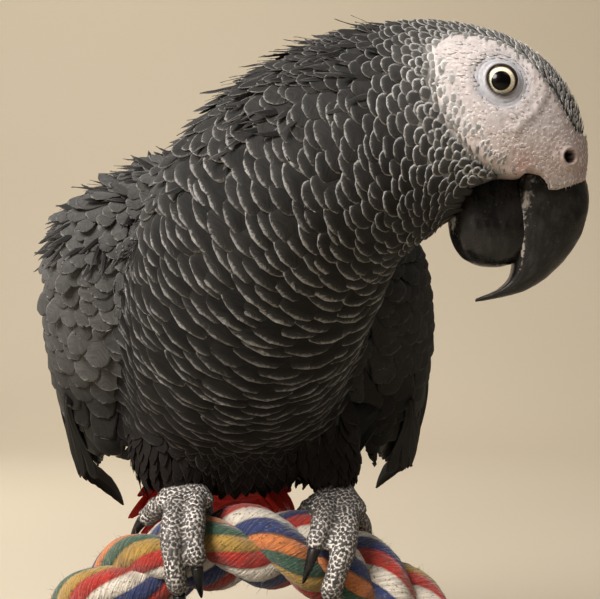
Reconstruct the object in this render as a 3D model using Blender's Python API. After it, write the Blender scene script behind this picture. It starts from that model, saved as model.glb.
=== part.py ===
"""African grey parrot, life size and still, gripping a short cut length of twisted rope.

The rope is a perch on a plain stand: two rods and a flat round base.  The bird leans
forward over the rope with its head turned to its own left and the bill pointing down.
Frame: origin at the centre of the base's underside, +Z up, the chest facing -Y, the
bird's right side at -X.  Working units are millimetres, scaled to metres when meshed.
"""

import math

import bmesh
import bpy
import numpy as np
from mathutils import Vector
from mathutils.bvhtree import BVHTree

MM = 0.001
GAP = 0.3  # clearance between touching pieces
BODY_GAP = 0.9  # the same round the big faceted body
UP = np.array([0.0, 0.0, 1.0])
BIRD, STAND = "parrot", "stand"  # the empties that carry the pieces
STAND_NAMES = ("stand_", "perch_", "hole_")

# Stand and perch
BASE_RADIUS, BASE_HEIGHT, BASE_EDGE = 85.0, 12.0, 1.5
ROD_RADIUS, ROD_INTO_ROPE = 3.0, 7.0
ROD_X = (-38.0, 40.0)
ROPE_MIDDLE_X, ROPE_TOP_CENTRE_Z = 1.5, 75.8  # the rope's axis at the middle of its arch
ROPE_ARCH_RADIUS = 66.0
ROPE_HALF_ANGLE = math.radians(57.0)
LOBE_RADIUS, LOBE_OFFSET = 7.5, 5.0  # one of three strands, seen in the rope's cross-section
ROPE_RADIUS = LOBE_RADIUS + LOBE_OFFSET
ROPE_PITCH = 52.0  # length along the rope of one full turn of a strand

# Body: stations along the spine from the tail root to the bill.
# x, y, z, then the radius towards the back, towards the belly and to each side.
SPINE = np.array([
    (-13.0, 90.0, 74.5, 4.0, 4.0, 8.0),
    (-10.5, 70.0, 88.0, 12.5, 9.5, 17.0),
    (-7.0, 42.0, 106.0, 25.0, 19.5, 29.0),
    (-4.0, 14.0, 123.5, 33.5, 30.0, 33.5),
    (1.0, -13.0, 143.0, 36.0, 35.0, 34.5),
    (8.0, -33.0, 162.0, 36.5, 34.0, 35.5),
    (20.5, -48.0, 177.0, 35.5, 30.0, 33.0),
    (37.0, -58.5, 185.5, 33.5, 26.0, 27.5),
    (53.0, -64.0, 187.5, 31.0, 22.5, 22.5),
    (66.0, -65.0, 182.5, 27.0, 16.5, 18.0),
    (75.5, -65.0, 175.5, 18.5, 9.5, 12.5),
    (80.5, -65.0, 171.0, 9.0, 6.0, 9.0),
])
TRUNK_NECK, NECK_HEAD = 5.45, 7.35  # where the spine is parted, in stations

# Bill, in the head's middle plane (x, z) at y = HEAD_Y
HEAD_Y = -65.0
CULMEN = np.array([(87.3, 179.5), (88.4, 174.5), (87.9, 169.5), (86.3, 164.6), (82.8, 159.2),
                   (77.2, 153.8), (70.0, 150.3), (60.4, 148.4)])
TOMIUM = np.array([(70.4, 179.0), (69.3, 174.0), (69.1, 169.0), (69.2, 164.5), (69.8, 159.8),
                   (69.2, 155.2), (66.3, 151.7), (60.6, 149.2)])
UPPER_HALF_WIDTH = np.array([10.6, 10.1, 9.3, 8.2, 6.7, 4.8, 2.9, 0.5])
LOWER_CENTRE = (64.6, 169.4)
LOWER_RADII = (10.8, 9.4, 12.4)  # along x, to each side, along z
LOWER_SQUARENESS = 2.35
CERE_BACK_X, CERE_TOP_Z = 76.2, 190.5
NOSTRIL_X, NOSTRIL_Z, NOSTRIL_RADIUS, NOSTRIL_DEPTH = 81.2, 183.2, 1.6, 2.4
EYE_X, EYE_Z, EYE_RADIUS, EYE_SUNK = 64.3, 200.4, 4.7, 3.25

# Wings: wrist and tip of each
WRIST = {"right": (-45.0, -6.0, 161.0), "left": (41.5, -4.0, 158.0)}
TIP = {"right": (-57.5, 176.0, 60.5), "left": (48.0, 172.0, 68.5)}
# share of the length, half thickness, half height, outward shift, upward shift, then how
# strongly the lower and the upper edge curl in towards the body
WING = np.array([
    (-0.085, 1.0, 2.0, -12.0, 10.0, 0.000, 0.000),
    (-0.055, 14.0, 13.0, -10.0, 8.0, 0.000, 0.020),
    (0.00, 22.0, 23.0, -9.0, 4.5, 0.001, 0.022),
    (0.10, 23.0, 30.0, -6.5, 1.0, 0.003, 0.015),
    (0.22, 17.0, 34.0, 1.0, -1.5, 0.006, 0.017),
    (0.36, 9.0, 34.0, 8.5, -1.0, 0.010, 0.024),
    (0.50, 5.0, 30.0, 11.0, 0.0, 0.010, 0.027),
    (0.64, 3.0, 23.5, 10.5, 0.0, 0.008, 0.025),
    (0.78, 1.9, 16.0, 7.0, -0.5, 0.005, 0.018),
    (0.91, 1.1, 8.5, 2.5, 0.0, 0.000, 0.004),
    (1.00, 0.5, 1.8, 0.0, 0.0, 0.000, 0.000),
])
ARM_END, SECONDARY_END = 0.46, 0.74

# Tail: from its root inside the rump to its tip
TAIL_ROOT, TAIL_TIP = (-10.8, 72.0, 87.0), (-23.5, 147.0, 48.0)
TAIL_HALF_WIDTH = (14.0, 23.0)
TAIL_HALF_THICKNESS = (7.0, 0.9)
TAIL_ARCH = 0.012  # how much the fan curves down to its sides, per mm

# Legs: centre of the thigh's top and its bottom, with radii (side, depth)
THIGH = {
    "right": ((-18.0, 10.0, 120.0), (-19.0, 3.5, 94.5), 16.0, 9.5),
    "left": ((22.0, 10.0, 120.0), (26.0, 3.5, 93.5), 13.0, 8.0),
}
# Foot: knuckle, ankle, then per toe the first and last place along the rope (x), the first
# and last angle round it (0 on top, positive at the front) and the root and tip radius
KNUCKLE = {"right": (-17.0, -4.0, 89.6), "left": (28.0, -3.5, 86.8)}
ANKLE = {"right": (-17.5, 8.0, 95.0), "left": (27.5, 8.0, 93.5)}
TOES = {
    "right": {"2": (-10.5, -12.8, 10, 98, 3.6, 2.7), "3": (-14.5, -20.5, 10, 122, 3.9, 2.8),
              "1": (-11.5, -10.0, -14, -78, 3.4, 2.5), "4": (-17.0, -25.5, -4, -36, 3.6, 2.6)},
    "left": {"2": (20.5, 19.8, 10, 76, 3.6, 2.7), "3": (25.0, 28.3, 10, 122, 3.9, 2.8),
             "1": (20.5, 16.0, -12, -48, 3.4, 2.5), "4": (25.5, 36.0, -12, -80, 3.6, 2.6)},
}
CLAW_LENGTH = {"1": 8.0, "2": 9.5, "3": 11.0, "4": 10.0}

COLOURS = {  # base colour, roughness, metallic
    "feather_grey": ((0.060, 0.062, 0.066), 0.75, 0.0),
    "feather_dark": ((0.022, 0.022, 0.025), 0.70, 0.0),
    "feather_red": ((0.50, 0.020, 0.015), 0.65, 0.0),
    "face_skin": ((0.62, 0.58, 0.56), 0.60, 0.0),
    "cere_skin": ((0.40, 0.34, 0.33), 0.55, 0.0),
    "bill_horn": ((0.018, 0.018, 0.019), 0.35, 0.0),
    "foot_skin": ((0.22, 0.21, 0.20), 0.65, 0.0),
    "eye": ((0.60, 0.54, 0.36), 0.08, 0.0),
    "rope_cotton": ((0.45, 0.30, 0.16), 0.90, 0.0),
    "rod_steel": ((0.55, 0.55, 0.56), 0.35, 1.0),
    "base_paint": ((0.035, 0.035, 0.037), 0.45, 0.0),
}


def material(name):
    """The Principled material of this name, made once."""
    found = bpy.data.materials.get(name)
    if found:
        return found
    colour, roughness, metallic = COLOURS[name]
    made = bpy.data.materials.new(name)
    made.use_nodes = True
    shader = made.node_tree.nodes["Principled BSDF"]
    shader.inputs["Base Color"].default_value = (*colour, 1.0)
    shader.inputs["Roughness"].default_value = roughness
    shader.inputs["Metallic"].default_value = metallic
    return made


def unit(v):
    v = np.asarray(v, float)
    return v / np.linalg.norm(v, axis=-1, keepdims=True)


def natural_spline(knots, values, at):
    """Natural cubic spline through values (one row per knot), read at the given places."""
    knots, values = np.asarray(knots, float), np.asarray(values, float)
    at = np.atleast_1d(np.asarray(at, float))
    n, h = len(knots), np.diff(knots)
    slope = np.diff(values, axis=0) / h[:, None]
    matrix, right = np.eye(n), np.zeros_like(values)
    for i in range(1, n - 1):
        matrix[i, i - 1 : i + 2] = h[i - 1], 2 * (h[i - 1] + h[i]), h[i]
        right[i] = 6 * (slope[i] - slope[i - 1])
    bend = np.linalg.solve(matrix, right)
    k = np.clip(np.searchsorted(knots, at, side="right") - 1, 0, n - 2)
    a, b = (knots[k + 1] - at)[:, None], (at - knots[k])[:, None]
    w = h[k][:, None]
    return (
        (bend[k] * a**3 + bend[k + 1] * b**3) / (6 * w)
        + (values[k] / w - bend[k] * w / 6) * a
        + (values[k + 1] / w - bend[k + 1] * w / 6) * b
    )


def spine_frame(s):
    """Centre, the axes along, towards the back and to the bird's right, and the radii."""
    rows = natural_spline(np.arange(len(SPINE)), SPINE, s)
    step = natural_spline(np.arange(len(SPINE)), SPINE[:, :3], np.asarray(s) + 0.01) - rows[:, :3]
    along = unit(step)
    back = unit(UP - (along @ UP)[:, None] * along)
    return rows[:, :3], along, back, np.cross(along, back), rows[:, 3:]


def body_rings(first, last, rings, sides, grow=0.0):
    """Rings of the body between two stations, each an oval with a back and a belly half."""
    s = np.linspace(first, last, rings)
    centre, _, back, side, radii = spine_frame(s)
    turn = np.linspace(0, 2 * math.pi, sides, endpoint=False)
    depth = np.where(np.cos(turn) > 0, radii[:, 0:1], radii[:, 1:2]) + grow
    width = radii[:, 2:3] + grow
    return (
        centre[:, None, :]
        + (depth * np.cos(turn))[..., None] * back[:, None, :]
        + (width * np.sin(turn))[..., None] * side[:, None, :]
    )


def mesh_object(name, rings, colour):
    """A closed body lofted through rings of equally many points, in mm, shaded smooth."""
    rings = np.asarray(rings, float)
    count, sides = rings.shape[:2]
    bm = bmesh.new()
    grid = [[bm.verts.new(Vector(p) * MM) for p in ring] for ring in rings]
    for a, b in zip(grid[:-1], grid[1:]):
        for j in range(sides):
            k = (j + 1) % sides
            bm.faces.new((a[j], a[k], b[k], b[j]))
    bm.faces.new(grid[0][::-1])
    bm.faces.new(grid[-1])
    return finish_mesh(name, bm, colour)


def finish_mesh(name, bm, colour):
    """The object of a mesh made in place, with its origin moved to the mesh's middle."""
    bmesh.ops.triangulate(bm, faces=bm.faces, quad_method="FIXED")
    bmesh.ops.recalc_face_normals(bm, faces=bm.faces)
    if bm.calc_volume(signed=True) < 0:
        bmesh.ops.reverse_faces(bm, faces=bm.faces)
    middle = sum((v.co for v in bm.verts), Vector()) / len(bm.verts)
    bmesh.ops.translate(bm, verts=bm.verts, vec=-middle)
    mesh = bpy.data.meshes.new(name)
    bm.to_mesh(mesh)
    bm.free()
    mesh.shade_smooth()
    mesh.materials.append(material(colour))
    made = bpy.data.objects.new(name, mesh)
    bpy.context.scene.collection.objects.link(made)
    made.location = middle
    made.parent = bpy.data.objects[STAND if name.startswith(STAND_NAMES) else BIRD]
    return made


def helper(made):
    """Marks an object as a cutter, which is no piece of the model."""
    made.hide_render = True
    made.display_type = "WIRE"
    return made


def boolean(target, other, operation="DIFFERENCE"):
    modifier = target.modifiers.new(f"{operation.lower()} {other.name}", "BOOLEAN")
    modifier.operation = operation
    modifier.solver = "EXACT"
    modifier.object = other
    return target


def tube_rings(path, radii, sides, first_side):
    """Rings round a path; radii holds one (sideways, upright) pair for each point."""
    path = np.asarray(path, float)
    along = unit(np.gradient(path, axis=0))
    side = unit(first_side - (along @ np.asarray(first_side, float))[:, None] * along)
    upright = np.cross(along, side)
    turn = np.linspace(0, 2 * math.pi, sides, endpoint=False)
    radii = np.asarray(radii, float)
    return (
        path[:, None, :]
        + (radii[:, 0:1] * np.cos(turn))[..., None] * side[:, None, :]
        + (radii[:, 1:2] * np.sin(turn))[..., None] * upright[:, None, :]
    )


def rounded_ends(count, share):
    """Radius factors along a tube that closes in a round end over the given share."""
    t = np.linspace(0, 1, count)
    near = np.clip(np.minimum(t, 1 - t) / share, 0, 1)
    return np.sqrt(np.clip(1 - (1 - near) ** 2, 0.02, 1))


# ---------------------------------------------------------------- perch and stand


def rope_frame(x):
    """Axis point of the arched rope at this x, its outward normal and its direction."""
    share = (np.asarray(x, float) - ROPE_MIDDLE_X) / ROPE_ARCH_RADIUS
    angle = np.arcsin(np.clip(share, -0.999, 0.999))
    zero = np.zeros_like(angle)
    normal = np.stack([np.sin(angle), zero, np.cos(angle)], -1)
    along = np.stack([np.cos(angle), zero, -np.sin(angle)], -1)
    middle = np.array([ROPE_MIDDLE_X, 0, ROPE_TOP_CENTRE_Z - ROPE_ARCH_RADIUS])
    centre = middle + ROPE_ARCH_RADIUS * normal
    return centre, normal, along


def rope_rings(rings, sides, grow=0.0):
    """Rings of a three-strand rope: each cross-section is three merged circles, turning."""
    angle = np.linspace(-ROPE_HALF_ANGLE, ROPE_HALF_ANGLE, rings)
    centre, normal, _ = rope_frame(ROPE_MIDDLE_X + ROPE_ARCH_RADIUS * np.sin(angle))
    across = np.array([0.0, -1.0, 0.0])
    turn = np.linspace(0, 2 * math.pi, sides, endpoint=False)
    lay = 2 * math.pi * ROPE_ARCH_RADIUS * angle / ROPE_PITCH
    third = 2 * math.pi / 3
    off = (turn[None, :] - lay[:, None]) % third
    off = np.minimum(off, third - off)
    radius = (
        LOBE_OFFSET * np.cos(off)
        + np.sqrt(LOBE_RADIUS**2 - (LOBE_OFFSET * np.sin(off)) ** 2)
        + grow
    )
    return (
        centre[:, None, :]
        + (radius * np.cos(turn))[..., None] * normal[:, None, :]
        + (radius * np.sin(turn))[..., None] * across
    )


def cylinder(name, x, y, bottom, top, radius, colour, sides=24):
    rings = [
        [(x + radius * math.cos(a), y + radius * math.sin(a), z)
         for a in np.linspace(0, 2 * math.pi, sides, endpoint=False)]
        for z in (bottom, top)
    ]
    return mesh_object(name, rings, colour)


def build_stand():
    bm = bmesh.new()
    bmesh.ops.create_cone(bm, cap_ends=True, segments=36, radius1=BASE_RADIUS * MM,
                          radius2=BASE_RADIUS * MM, depth=BASE_HEIGHT * MM)
    rims = [e for e in bm.edges if len({round(v.co.z, 6) for v in e.verts}) == 1]
    bmesh.ops.bevel(bm, geom=rims, offset=BASE_EDGE * MM, segments=1, affect="EDGES")
    bmesh.ops.translate(bm, verts=bm.verts, vec=(0, 0, BASE_HEIGHT / 2 * MM))
    base = finish_mesh("stand_base", bm, "base_paint")
    base.data.set_sharp_from_angle(angle=math.radians(40))
    rope = mesh_object("perch_rope", rope_rings(26, 18), "rope_cotton")
    for name, x in zip(("stand_rod_right", "stand_rod_left"), ROD_X):
        centre, normal, _ = rope_frame(x)
        top = centre[2] - ROPE_RADIUS / normal[2] + ROD_INTO_ROPE
        rod = cylinder(name, x, 0, BASE_HEIGHT + GAP, top, ROD_RADIUS, "rod_steel", 20)
        rod.data.set_sharp_from_angle(angle=math.radians(40))
        hole = helper(cylinder(f"hole_{name}", x, 0, top - 40, top + GAP, ROD_RADIUS + GAP,
                               "rod_steel", 20))
        boolean(rope, hole)


# ---------------------------------------------------------------- body


def build_body():
    """Trunk, neck and head along one spine, parted by thin cuts."""
    half_gap = 0.012
    trunk = mesh_object("trunk", body_rings(0, TRUNK_NECK - half_gap, 14, 22), "feather_grey")
    neck = mesh_object("neck", body_rings(TRUNK_NECK + half_gap, NECK_HEAD - half_gap, 7, 22),
                       "feather_grey")
    head = mesh_object("head", body_rings(NECK_HEAD + half_gap, len(SPINE) - 1, 11, 22),
                       "face_skin")
    return trunk, neck, head


def box(name, low, high):
    """An axis-aligned cutter, in mm."""
    bm = bmesh.new()
    bmesh.ops.create_cube(bm, size=1.0)
    low, high = Vector(low), Vector(high)
    for v in bm.verts:
        v.co = Vector([(a + b) / 2 + c * (b - a) for a, b, c in zip(low, high, v.co)]) * MM
    return helper(finish_mesh(name, bm, "face_skin"))


def upper_bill_rings(grow=0.0, widen=1.0):
    """Rings down the upper bill: a narrow ridge in front, wide cutting edges behind."""
    steps = np.linspace(0, 7, 15)
    front = natural_spline(np.arange(8), CULMEN, steps)
    rear = natural_spline(np.arange(8), TOMIUM, steps)
    half = natural_spline(np.arange(8), UPPER_HALF_WIDTH[:, None], steps)[:, 0]
    rings = []
    for f, r, w in zip(front, rear, half):
        deep = np.linalg.norm(f - r) + 2 * grow
        to_front = (f - r) / np.linalg.norm(f - r)
        ring = []
        for a in np.linspace(0, 2 * math.pi, 14, endpoint=False):
            # 0 is the ridge, pi the middle of the rear face
            c, s = math.cos(a), math.sin(a)
            reach = 0.36 + 0.64 * c if c > 0 else 0.36 + 0.36 * c
            wide = math.copysign(abs(s) ** (0.95 if c > 0 else 0.62), s) * (w + grow) * widen
            p = r + to_front * (deep * reach - grow)
            ring.append((p[0], HEAD_Y - wide, p[1]))
        rings.append(ring)
    return rings


def superellipsoid(name, centre, radii, power, colour, rings=10, sides=16, grow=0.0):
    """A rounded block: |x/a|^p + |y/b|^p + |z/c|^p = 1, poles up and down."""
    made = []
    for lat in np.linspace(-math.pi / 2, math.pi / 2, rings + 2)[1:-1]:
        ring = []
        for lon in np.linspace(0, 2 * math.pi, sides, endpoint=False):
            d = np.array([math.cos(lat) * math.cos(lon), math.cos(lat) * math.sin(lon),
                          math.sin(lat)])
            scale = np.sum(np.abs(d) ** power) ** (-1 / power)
            ring.append(np.array(centre) + d * scale * (np.array(radii) + grow))
        made.append(ring)
    return mesh_object(name, made, colour)


def surface_y(tree, x, z, right_side):
    """The y of the head's side at this x and z."""
    start, way = (-200, 1) if right_side else (100, -1)
    hit, _, _, _ = tree.ray_cast(Vector((x, start, z)) * MM, Vector((0, way, 0)))
    return hit.y / MM


def build_head_pieces(head):
    """Bill, cere, nostrils and eyes, each cleared from the head it sits in."""
    tree = BVHTree.FromPolygons([v.co + head.location for v in head.data.vertices],
                                [p.vertices for p in head.data.polygons])
    upper = mesh_object("bill_upper", upper_bill_rings(), "bill_horn")
    lower_at = (LOWER_CENTRE[0], HEAD_Y, LOWER_CENTRE[1])
    lower = superellipsoid("bill_lower", lower_at, LOWER_RADII, LOWER_SQUARENESS, "bill_horn")
    boolean(lower, helper(mesh_object("around_upper", upper_bill_rings(GAP), "bill_horn")))
    # the flesh stands back from the bill's sides, so these cutters are wider than the bill
    room_upper = helper(mesh_object("room_for_upper", upper_bill_rings(GAP, 3.0), "bill_horn"))
    room_lower = helper(superellipsoid(
        "room_for_lower", lower_at, (LOWER_RADII[0] + GAP, 45.0, LOWER_RADII[2] + GAP),
        LOWER_SQUARENESS, "bill_horn"))
    boolean(head, room_upper)
    boolean(head, room_lower)
    cere = mesh_object("cere", body_rings(NECK_HEAD + 0.5, len(SPINE) - 1, 10, 22), "cere_skin")
    slot = box("cere_slot", (CERE_BACK_X, HEAD_Y - 30, 160), (110, HEAD_Y + 30, CERE_TOP_Z))
    room = box("cere_room", (CERE_BACK_X - GAP, HEAD_Y - 30, 150),
               (110, HEAD_Y + 30, CERE_TOP_Z + GAP))
    boolean(cere, slot, "INTERSECT")
    boolean(cere, room_upper)
    boolean(cere, room_lower)
    boolean(head, room)
    for side, sign in (("right", -1), ("left", 1)):
        y = surface_y(tree, NOSTRIL_X, NOSTRIL_Z, sign < 0)
        turn = np.linspace(0, 2 * math.pi, 14, endpoint=False)
        rings = [[(NOSTRIL_X + NOSTRIL_RADIUS * math.cos(a), y + off,
                   NOSTRIL_Z + NOSTRIL_RADIUS * math.sin(a)) for a in turn]
                 for off in (-sign * NOSTRIL_DEPTH, sign * 6)]
        boolean(cere, helper(mesh_object(f"nostril_{side}", rings, "cere_skin")))
        y = surface_y(tree, EYE_X, EYE_Z, sign < 0) - sign * EYE_SUNK
        at, ball = (EYE_X, y, EYE_Z), (EYE_RADIUS,) * 3
        superellipsoid(f"eye_{side}", at, ball, 2.0, "eye", 7, 12)
        socket = helper(superellipsoid(f"socket_{side}", at, ball, 2.0, "eye", 7, 12, grow=GAP))
        boolean(head, socket)


# ---------------------------------------------------------------- wings and tail


def wing_frame(side):
    wrist, tip = np.array(WRIST[side]), np.array(TIP[side])
    along = unit(tip - wrist)
    upward = unit(UP - (UP @ along) * along)
    outward = np.cross(along, upward)
    if (outward[0] < 0) != (side == "right"):
        outward = -outward
    return wrist, along, upward, outward, np.linalg.norm(tip - wrist)


def wing_rings(side, first, last, rings, sides, thin=1.0, lift=0.0, low=-1.0, high=1.0,
               grow=0.0):
    """Rings of the folded wing: ovals that thin out and curl in towards the tip.

    thin scales the thickness, lift shifts the layer outwards, and low and high keep only
    a share of the wing's height, from -1 at the lower edge to 1 at the upper.  grow makes
    the layer thicker and taller all round, for the room that another piece leaves it.
    """
    wrist, along, upward, outward, length = wing_frame(side)
    t = np.linspace(first, last, rings)
    rows = natural_spline(WING[:, 0], WING[:, 1:], t)
    made = []
    for share, (thick, height, out, up, curl_low, curl_high) in zip(t, rows):
        thick, height = max(thick, 0.45) * thin + grow, max(height, 1.0)
        middle, half = height * (high + low) / 2, height * (high - low) / 2 + grow
        ring = []
        for a in np.linspace(0, 2 * math.pi, sides, endpoint=False):
            h = middle + half * math.sin(a)
            o = out + lift + thick * math.cos(a) - (curl_high if h > 0 else curl_low) * h * h
            ring.append(wrist + along * share * length + upward * (h + up) + outward * o)
        made.append(ring)
    return made


def build_wings():
    for side in ("right", "left"):
        body_room = helper(mesh_object(f"room_for_body_{side}",
                                       body_rings(0, 7.0, 16, 20, BODY_GAP), "feather_grey"))
        arm = mesh_object(f"wing_{side}_coverts",
                          wing_rings(side, -0.085, ARM_END, 10, 16), "feather_grey")
        secondaries = mesh_object(
            f"wing_{side}_secondaries",
            wing_rings(side, ARM_END + 0.004, SECONDARY_END, 6, 16, 0.55, 1.0, -0.30, 1.0),
            "feather_dark")
        primaries = mesh_object(
            f"wing_{side}_primaries",
            wing_rings(side, ARM_END + 0.004, 1.0, 9, 14, 0.6, -2.0, -1.0, 0.7),
            "feather_dark")
        thigh_room = helper(mesh_object(f"thigh_beside_wing_{side}", thigh_rings(side, GAP),
                                        "feather_grey"))
        for piece in (arm, secondaries, primaries):
            boolean(piece, body_room)
            boolean(piece, thigh_room)
        room = helper(mesh_object(
            f"room_for_secondaries_{side}",
            wing_rings(side, ARM_END + 0.002, SECONDARY_END + 0.002, 6, 16, 0.55, 1.0, -0.30, 1.0,
                       GAP), "feather_dark"))
        boolean(primaries, room)


def build_tail():
    root, tip = np.array(TAIL_ROOT), np.array(TAIL_TIP)
    along = unit(tip - root)
    upward = unit(UP - (UP @ along) * along)
    side = np.cross(along, upward)
    length = np.linalg.norm(tip - root)
    rings = []
    for t in np.linspace(0, 1, 7):
        close = 1 if t < 0.8 else math.sqrt(max(1 - ((t - 0.8) / 0.2) ** 2, 0.12))
        wide = (TAIL_HALF_WIDTH[0] + (TAIL_HALF_WIDTH[1] - TAIL_HALF_WIDTH[0]) * t) * close
        thick = TAIL_HALF_THICKNESS[0] * (1 - t) ** 1.6 + TAIL_HALF_THICKNESS[1]
        ring = []
        for a in np.linspace(0, 2 * math.pi, 16, endpoint=False):
            w = wide * math.cos(a)
            h = thick * math.sin(a) - TAIL_ARCH * w * w
            ring.append(root + along * length * t + side * w + upward * h)
        rings.append(ring)
    tail = mesh_object("tail", rings, "feather_red")
    room = helper(mesh_object("room_for_rump", body_rings(0, 3, 8, 20, BODY_GAP), "feather_grey"))
    boolean(tail, room)


# ---------------------------------------------------------------- legs and feet


def thigh_rings(side, grow=0.0):
    top, bottom, wide, narrow = THIGH[side]
    path = np.linspace(top, bottom, 8)
    t = np.linspace(0, 1, 8)
    radius = (wide + (narrow - wide) * t**1.3) * rounded_ends(8, 0.3) + grow
    return tube_rings(path, np.stack([radius, radius * 1.05], 1), 12, (1.0, 0.0, 0.0))


def toe_path(side, toe, steps):
    """Centres and radii of a toe lying round the rope from its root to its tip."""
    x0, x1, a0, a1, r0, r1 = TOES[side][toe]
    u = np.linspace(0, 1, steps)
    x = x0 + (x1 - x0) * u
    angle = np.radians(a0 + (a1 - a0) * u)
    radius = r0 + (r1 - r0) * u
    centre, normal, _ = rope_frame(x)
    front = np.array([0.0, -1.0, 0.0])
    way = np.cos(angle)[:, None] * normal + np.sin(angle)[:, None] * front
    return centre + (ROPE_RADIUS + GAP + radius)[:, None] * way, radius, way


def build_legs(trunk):
    """Thighs let into the trunk, and feet that stop at the thigh, the belly and the rope."""
    rope_room = helper(mesh_object("room_for_rope", rope_rings(26, 18, GAP), "rope_cotton"))
    belly_room = helper(mesh_object("room_for_belly", body_rings(0, 5, 13, 20, BODY_GAP),
                                    "feather_grey"))
    for side in ("right", "left"):
        mesh_object(f"thigh_{side}", thigh_rings(side), "feather_grey")
        thigh_room = helper(mesh_object(f"room_for_thigh_{side}", thigh_rings(side, GAP),
                                        "feather_grey"))
        boolean(trunk, thigh_room)
        knuckle, ankle = np.array(KNUCKLE[side]), np.array(ANKLE[side])
        path = np.array([ankle, (ankle * 2 + knuckle) / 3, (ankle + knuckle * 2) / 3, knuckle,
                         knuckle + (knuckle - ankle) * 0.25])
        radii = np.array([(4.6, 4.6), (5.6, 5.0), (7.2, 4.6), (8.6, 4.0), (5.5, 2.2)])
        foot = mesh_object(f"foot_{side}", tube_rings(path, radii, 12, (1.0, 0.0, 0.0)),
                           "foot_skin")
        for toe in ("1", "2", "3", "4"):
            points, radius, way = toe_path(side, toe, 7)
            ends = rounded_ends(7, 0.16)
            rings = tube_rings(points, np.stack([radius * ends, radius * ends], 1), 8,
                               (1.0, 0.0, 0.0))
            boolean(foot, helper(mesh_object(f"toe_{side}_{toe}", rings, "foot_skin")), "UNION")
            build_claw(side, toe, points, radius, way)
        for cutter in (rope_room, thigh_room, belly_room):
            boolean(foot, cutter)


def build_claw(side, toe, points, radius, way):
    """A curved claw that leaves the toe's tip and turns in under the rope."""
    ahead = unit(points[-1] - points[-2])
    inward = -way[-1]
    length = CLAW_LENGTH[toe]
    start = points[-1] + ahead * (GAP + 0.2) - inward * 0.6
    t = np.linspace(0, 1, 5)
    bend = math.radians(38.0) * t
    path = start + (np.sin(bend) / math.radians(38.0))[:, None] * ahead * length
    path += ((1 - np.cos(bend)) / math.radians(38.0))[:, None] * inward * length
    thick = radius[-1] * 0.72 * (1 - t) ** 0.75 + 0.3
    rings = tube_rings(path, np.stack([thick * 0.8, thick], 1), 6, (1.0, 0.0, 0.0))
    mesh_object(f"claw_{side}_{toe}", rings, "bill_horn")


def main():
    for old in list(bpy.data.objects):
        bpy.data.objects.remove(old, do_unlink=True)
    for name in (BIRD, STAND):
        bpy.context.scene.collection.objects.link(bpy.data.objects.new(name, None))
    build_stand()
    trunk, neck, head = build_body()
    build_head_pieces(head)
    build_wings()
    build_tail()
    build_legs(trunk)


main()
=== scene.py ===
"""Looks of the African grey parrot on its rope perch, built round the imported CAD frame.

Lengths are millimetres here and become metres when a mesh is made.  The frame is the CAD's:
origin under the base, +Z up, the chest facing -Y and the bird's right side at -X.

First come the shapes shared with the CAD, then helpers, materials and vanes, then the skin,
the stage, the plumage, the hard pieces, the rope, the stand and the flight feathers.  Every
random draw comes from one seeded generator, so the order in which pieces are built matters.
"""

import math

import bmesh
import bpy
import numpy as np
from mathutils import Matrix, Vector
from mathutils.bvhtree import BVHTree
from mathutils.kdtree import KDTree


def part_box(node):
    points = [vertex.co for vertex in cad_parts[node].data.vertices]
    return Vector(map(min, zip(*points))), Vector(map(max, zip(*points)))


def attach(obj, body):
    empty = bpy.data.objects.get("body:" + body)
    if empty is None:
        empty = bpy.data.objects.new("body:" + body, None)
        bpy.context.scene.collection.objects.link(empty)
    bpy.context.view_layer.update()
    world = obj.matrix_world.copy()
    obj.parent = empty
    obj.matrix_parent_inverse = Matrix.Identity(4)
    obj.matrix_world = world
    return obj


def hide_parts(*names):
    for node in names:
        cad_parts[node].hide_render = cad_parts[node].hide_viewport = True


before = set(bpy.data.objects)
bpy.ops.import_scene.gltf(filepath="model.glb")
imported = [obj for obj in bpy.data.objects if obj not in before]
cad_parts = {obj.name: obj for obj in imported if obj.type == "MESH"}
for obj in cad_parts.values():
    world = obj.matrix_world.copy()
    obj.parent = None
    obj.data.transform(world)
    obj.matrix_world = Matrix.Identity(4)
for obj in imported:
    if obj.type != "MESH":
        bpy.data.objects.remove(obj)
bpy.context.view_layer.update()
for startup in ("Cube", "Light", "Camera"):
    if startup in bpy.data.objects:
        bpy.data.objects.remove(bpy.data.objects[startup])

MM = 0.001
UP = np.array([0.0, 0.0, 1.0])
FRONT = np.array([0.0, -1.0, 0.0])
TAU = 2 * math.pi
SIDES = (("right", -1), ("left", 1))  # each side's name and the sign of its x
random = np.random.default_rng(20)

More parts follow.
